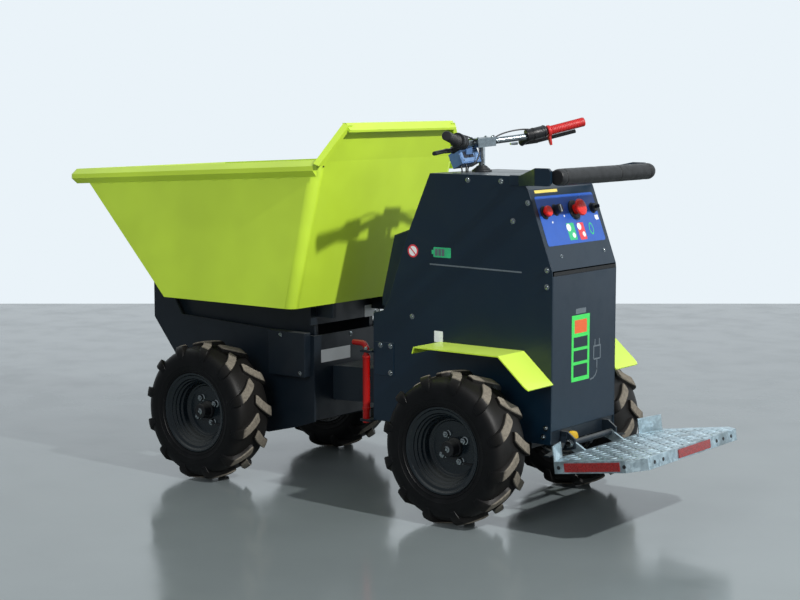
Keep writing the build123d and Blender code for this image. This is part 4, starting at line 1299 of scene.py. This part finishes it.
class DUMPER_OT_frames(bpy.types.Operator):
    """Bolt the frames, the console and the lock bar"""

    bl_idname = "dumper.frames"
    bl_label = "Frame trim"

    def execute(self, context):
        build_frame_trim(context.scene.dumper_sizes)
        return {"FINISHED"}


class DUMPER_OT_panel_trim(bpy.types.Operator):
    """Dress the control panel with its foil and knobs"""

    bl_idname = "dumper.panel_trim"
    bl_label = "Control panel"

    def execute(self, context):
        build_panel()
        build_knobs()
        return {"FINISHED"}


class DUMPER_OT_handlebar(bpy.types.Operator):
    """Build the grips, the bar's trim and the boot"""

    bl_idname = "dumper.handlebar"
    bl_label = "Handlebar"

    def execute(self, context):
        build_grips()
        build_bar_screws()
        build_switch_rings()
        build_throttle_fin()
        build_display_face()
        build_boot()
        return {"FINISHED"}


class DUMPER_OT_pad(bpy.types.Operator):
    """Fill and sew the back roll"""

    bl_idname = "dumper.pad"
    bl_label = "Back roll"

    def execute(self, context):
        build_pad()
        return {"FINISHED"}


class DUMPER_OT_step(bpy.types.Operator):
    """Raise the tread of the step and plug its skirt"""

    bl_idname = "dumper.step"
    bl_label = "Step"

    def execute(self, context):
        build_step_tread(context.scene.dumper_sizes)
        return {"FINISHED"}


class DUMPER_OT_signs(bpy.types.Operator):
    """Stick the blank signs"""

    bl_idname = "dumper.signs"
    bl_label = "Blank signs"

    def execute(self, context):
        build_signs()
        return {"FINISHED"}


class DUMPER_OT_stage(bpy.types.Operator):
    """Set the floor, the lamps, the background and the camera"""

    bl_idname = "dumper.stage"
    bl_label = "Stage"

    def execute(self, context):
        stage = context.scene.dumper_stage
        build_floor(stage.floor_colour)
        build_surround(stage.wall_colour, stage.fill)
        build_lamps(stage.key)
        build_camera()
        return {"FINISHED"}


class DUMPER_PT_panel(bpy.types.Panel):
    """Lists the steps that dress the dumper."""

    bl_idname = "DUMPER_PT_panel"
    bl_label = "Site dumper"
    bl_space_type = "VIEW_3D"
    bl_region_type = "UI"
    bl_category = "Dumper"

    def draw(self, context):
        for group in ("dumper_finish", "dumper_sizes", "dumper_stage"):
            settings = getattr(context.scene, group)
            column = self.layout.column()
            for name in settings.bl_rna.properties.keys():
                if name not in ("rna_type", "name"):
                    column.prop(settings, name)
        for step in STEPS:
            self.layout.operator(step.bl_idname)


STEPS = (DUMPER_OT_finishes, DUMPER_OT_wheels, DUMPER_OT_skip, DUMPER_OT_frames, DUMPER_OT_panel_trim,
         DUMPER_OT_handlebar, DUMPER_OT_pad, DUMPER_OT_step, DUMPER_OT_signs, DUMPER_OT_stage)
SETTINGS = (DumperFinish, DumperSizes, DumperStage)


def register():
    for item in SETTINGS + STEPS + (DUMPER_PT_panel,):
        bpy.utils.register_class(item)
    bpy.types.Scene.dumper_finish = bpy.props.PointerProperty(type=DumperFinish)
    bpy.types.Scene.dumper_sizes = bpy.props.PointerProperty(type=DumperSizes)
    bpy.types.Scene.dumper_stage = bpy.props.PointerProperty(type=DumperStage)


def unregister():
    del bpy.types.Scene.dumper_finish
    del bpy.types.Scene.dumper_sizes
    del bpy.types.Scene.dumper_stage
    for item in reversed(SETTINGS + STEPS + (DUMPER_PT_panel,)):
        bpy.utils.unregister_class(item)


def main():
    """Dresses the frame step by step."""
    register()
    for step in STEPS:
        group, name = step.bl_idname.split(".")
        getattr(getattr(bpy.ops, group), name)()


if __name__ == "__main__":
    main()
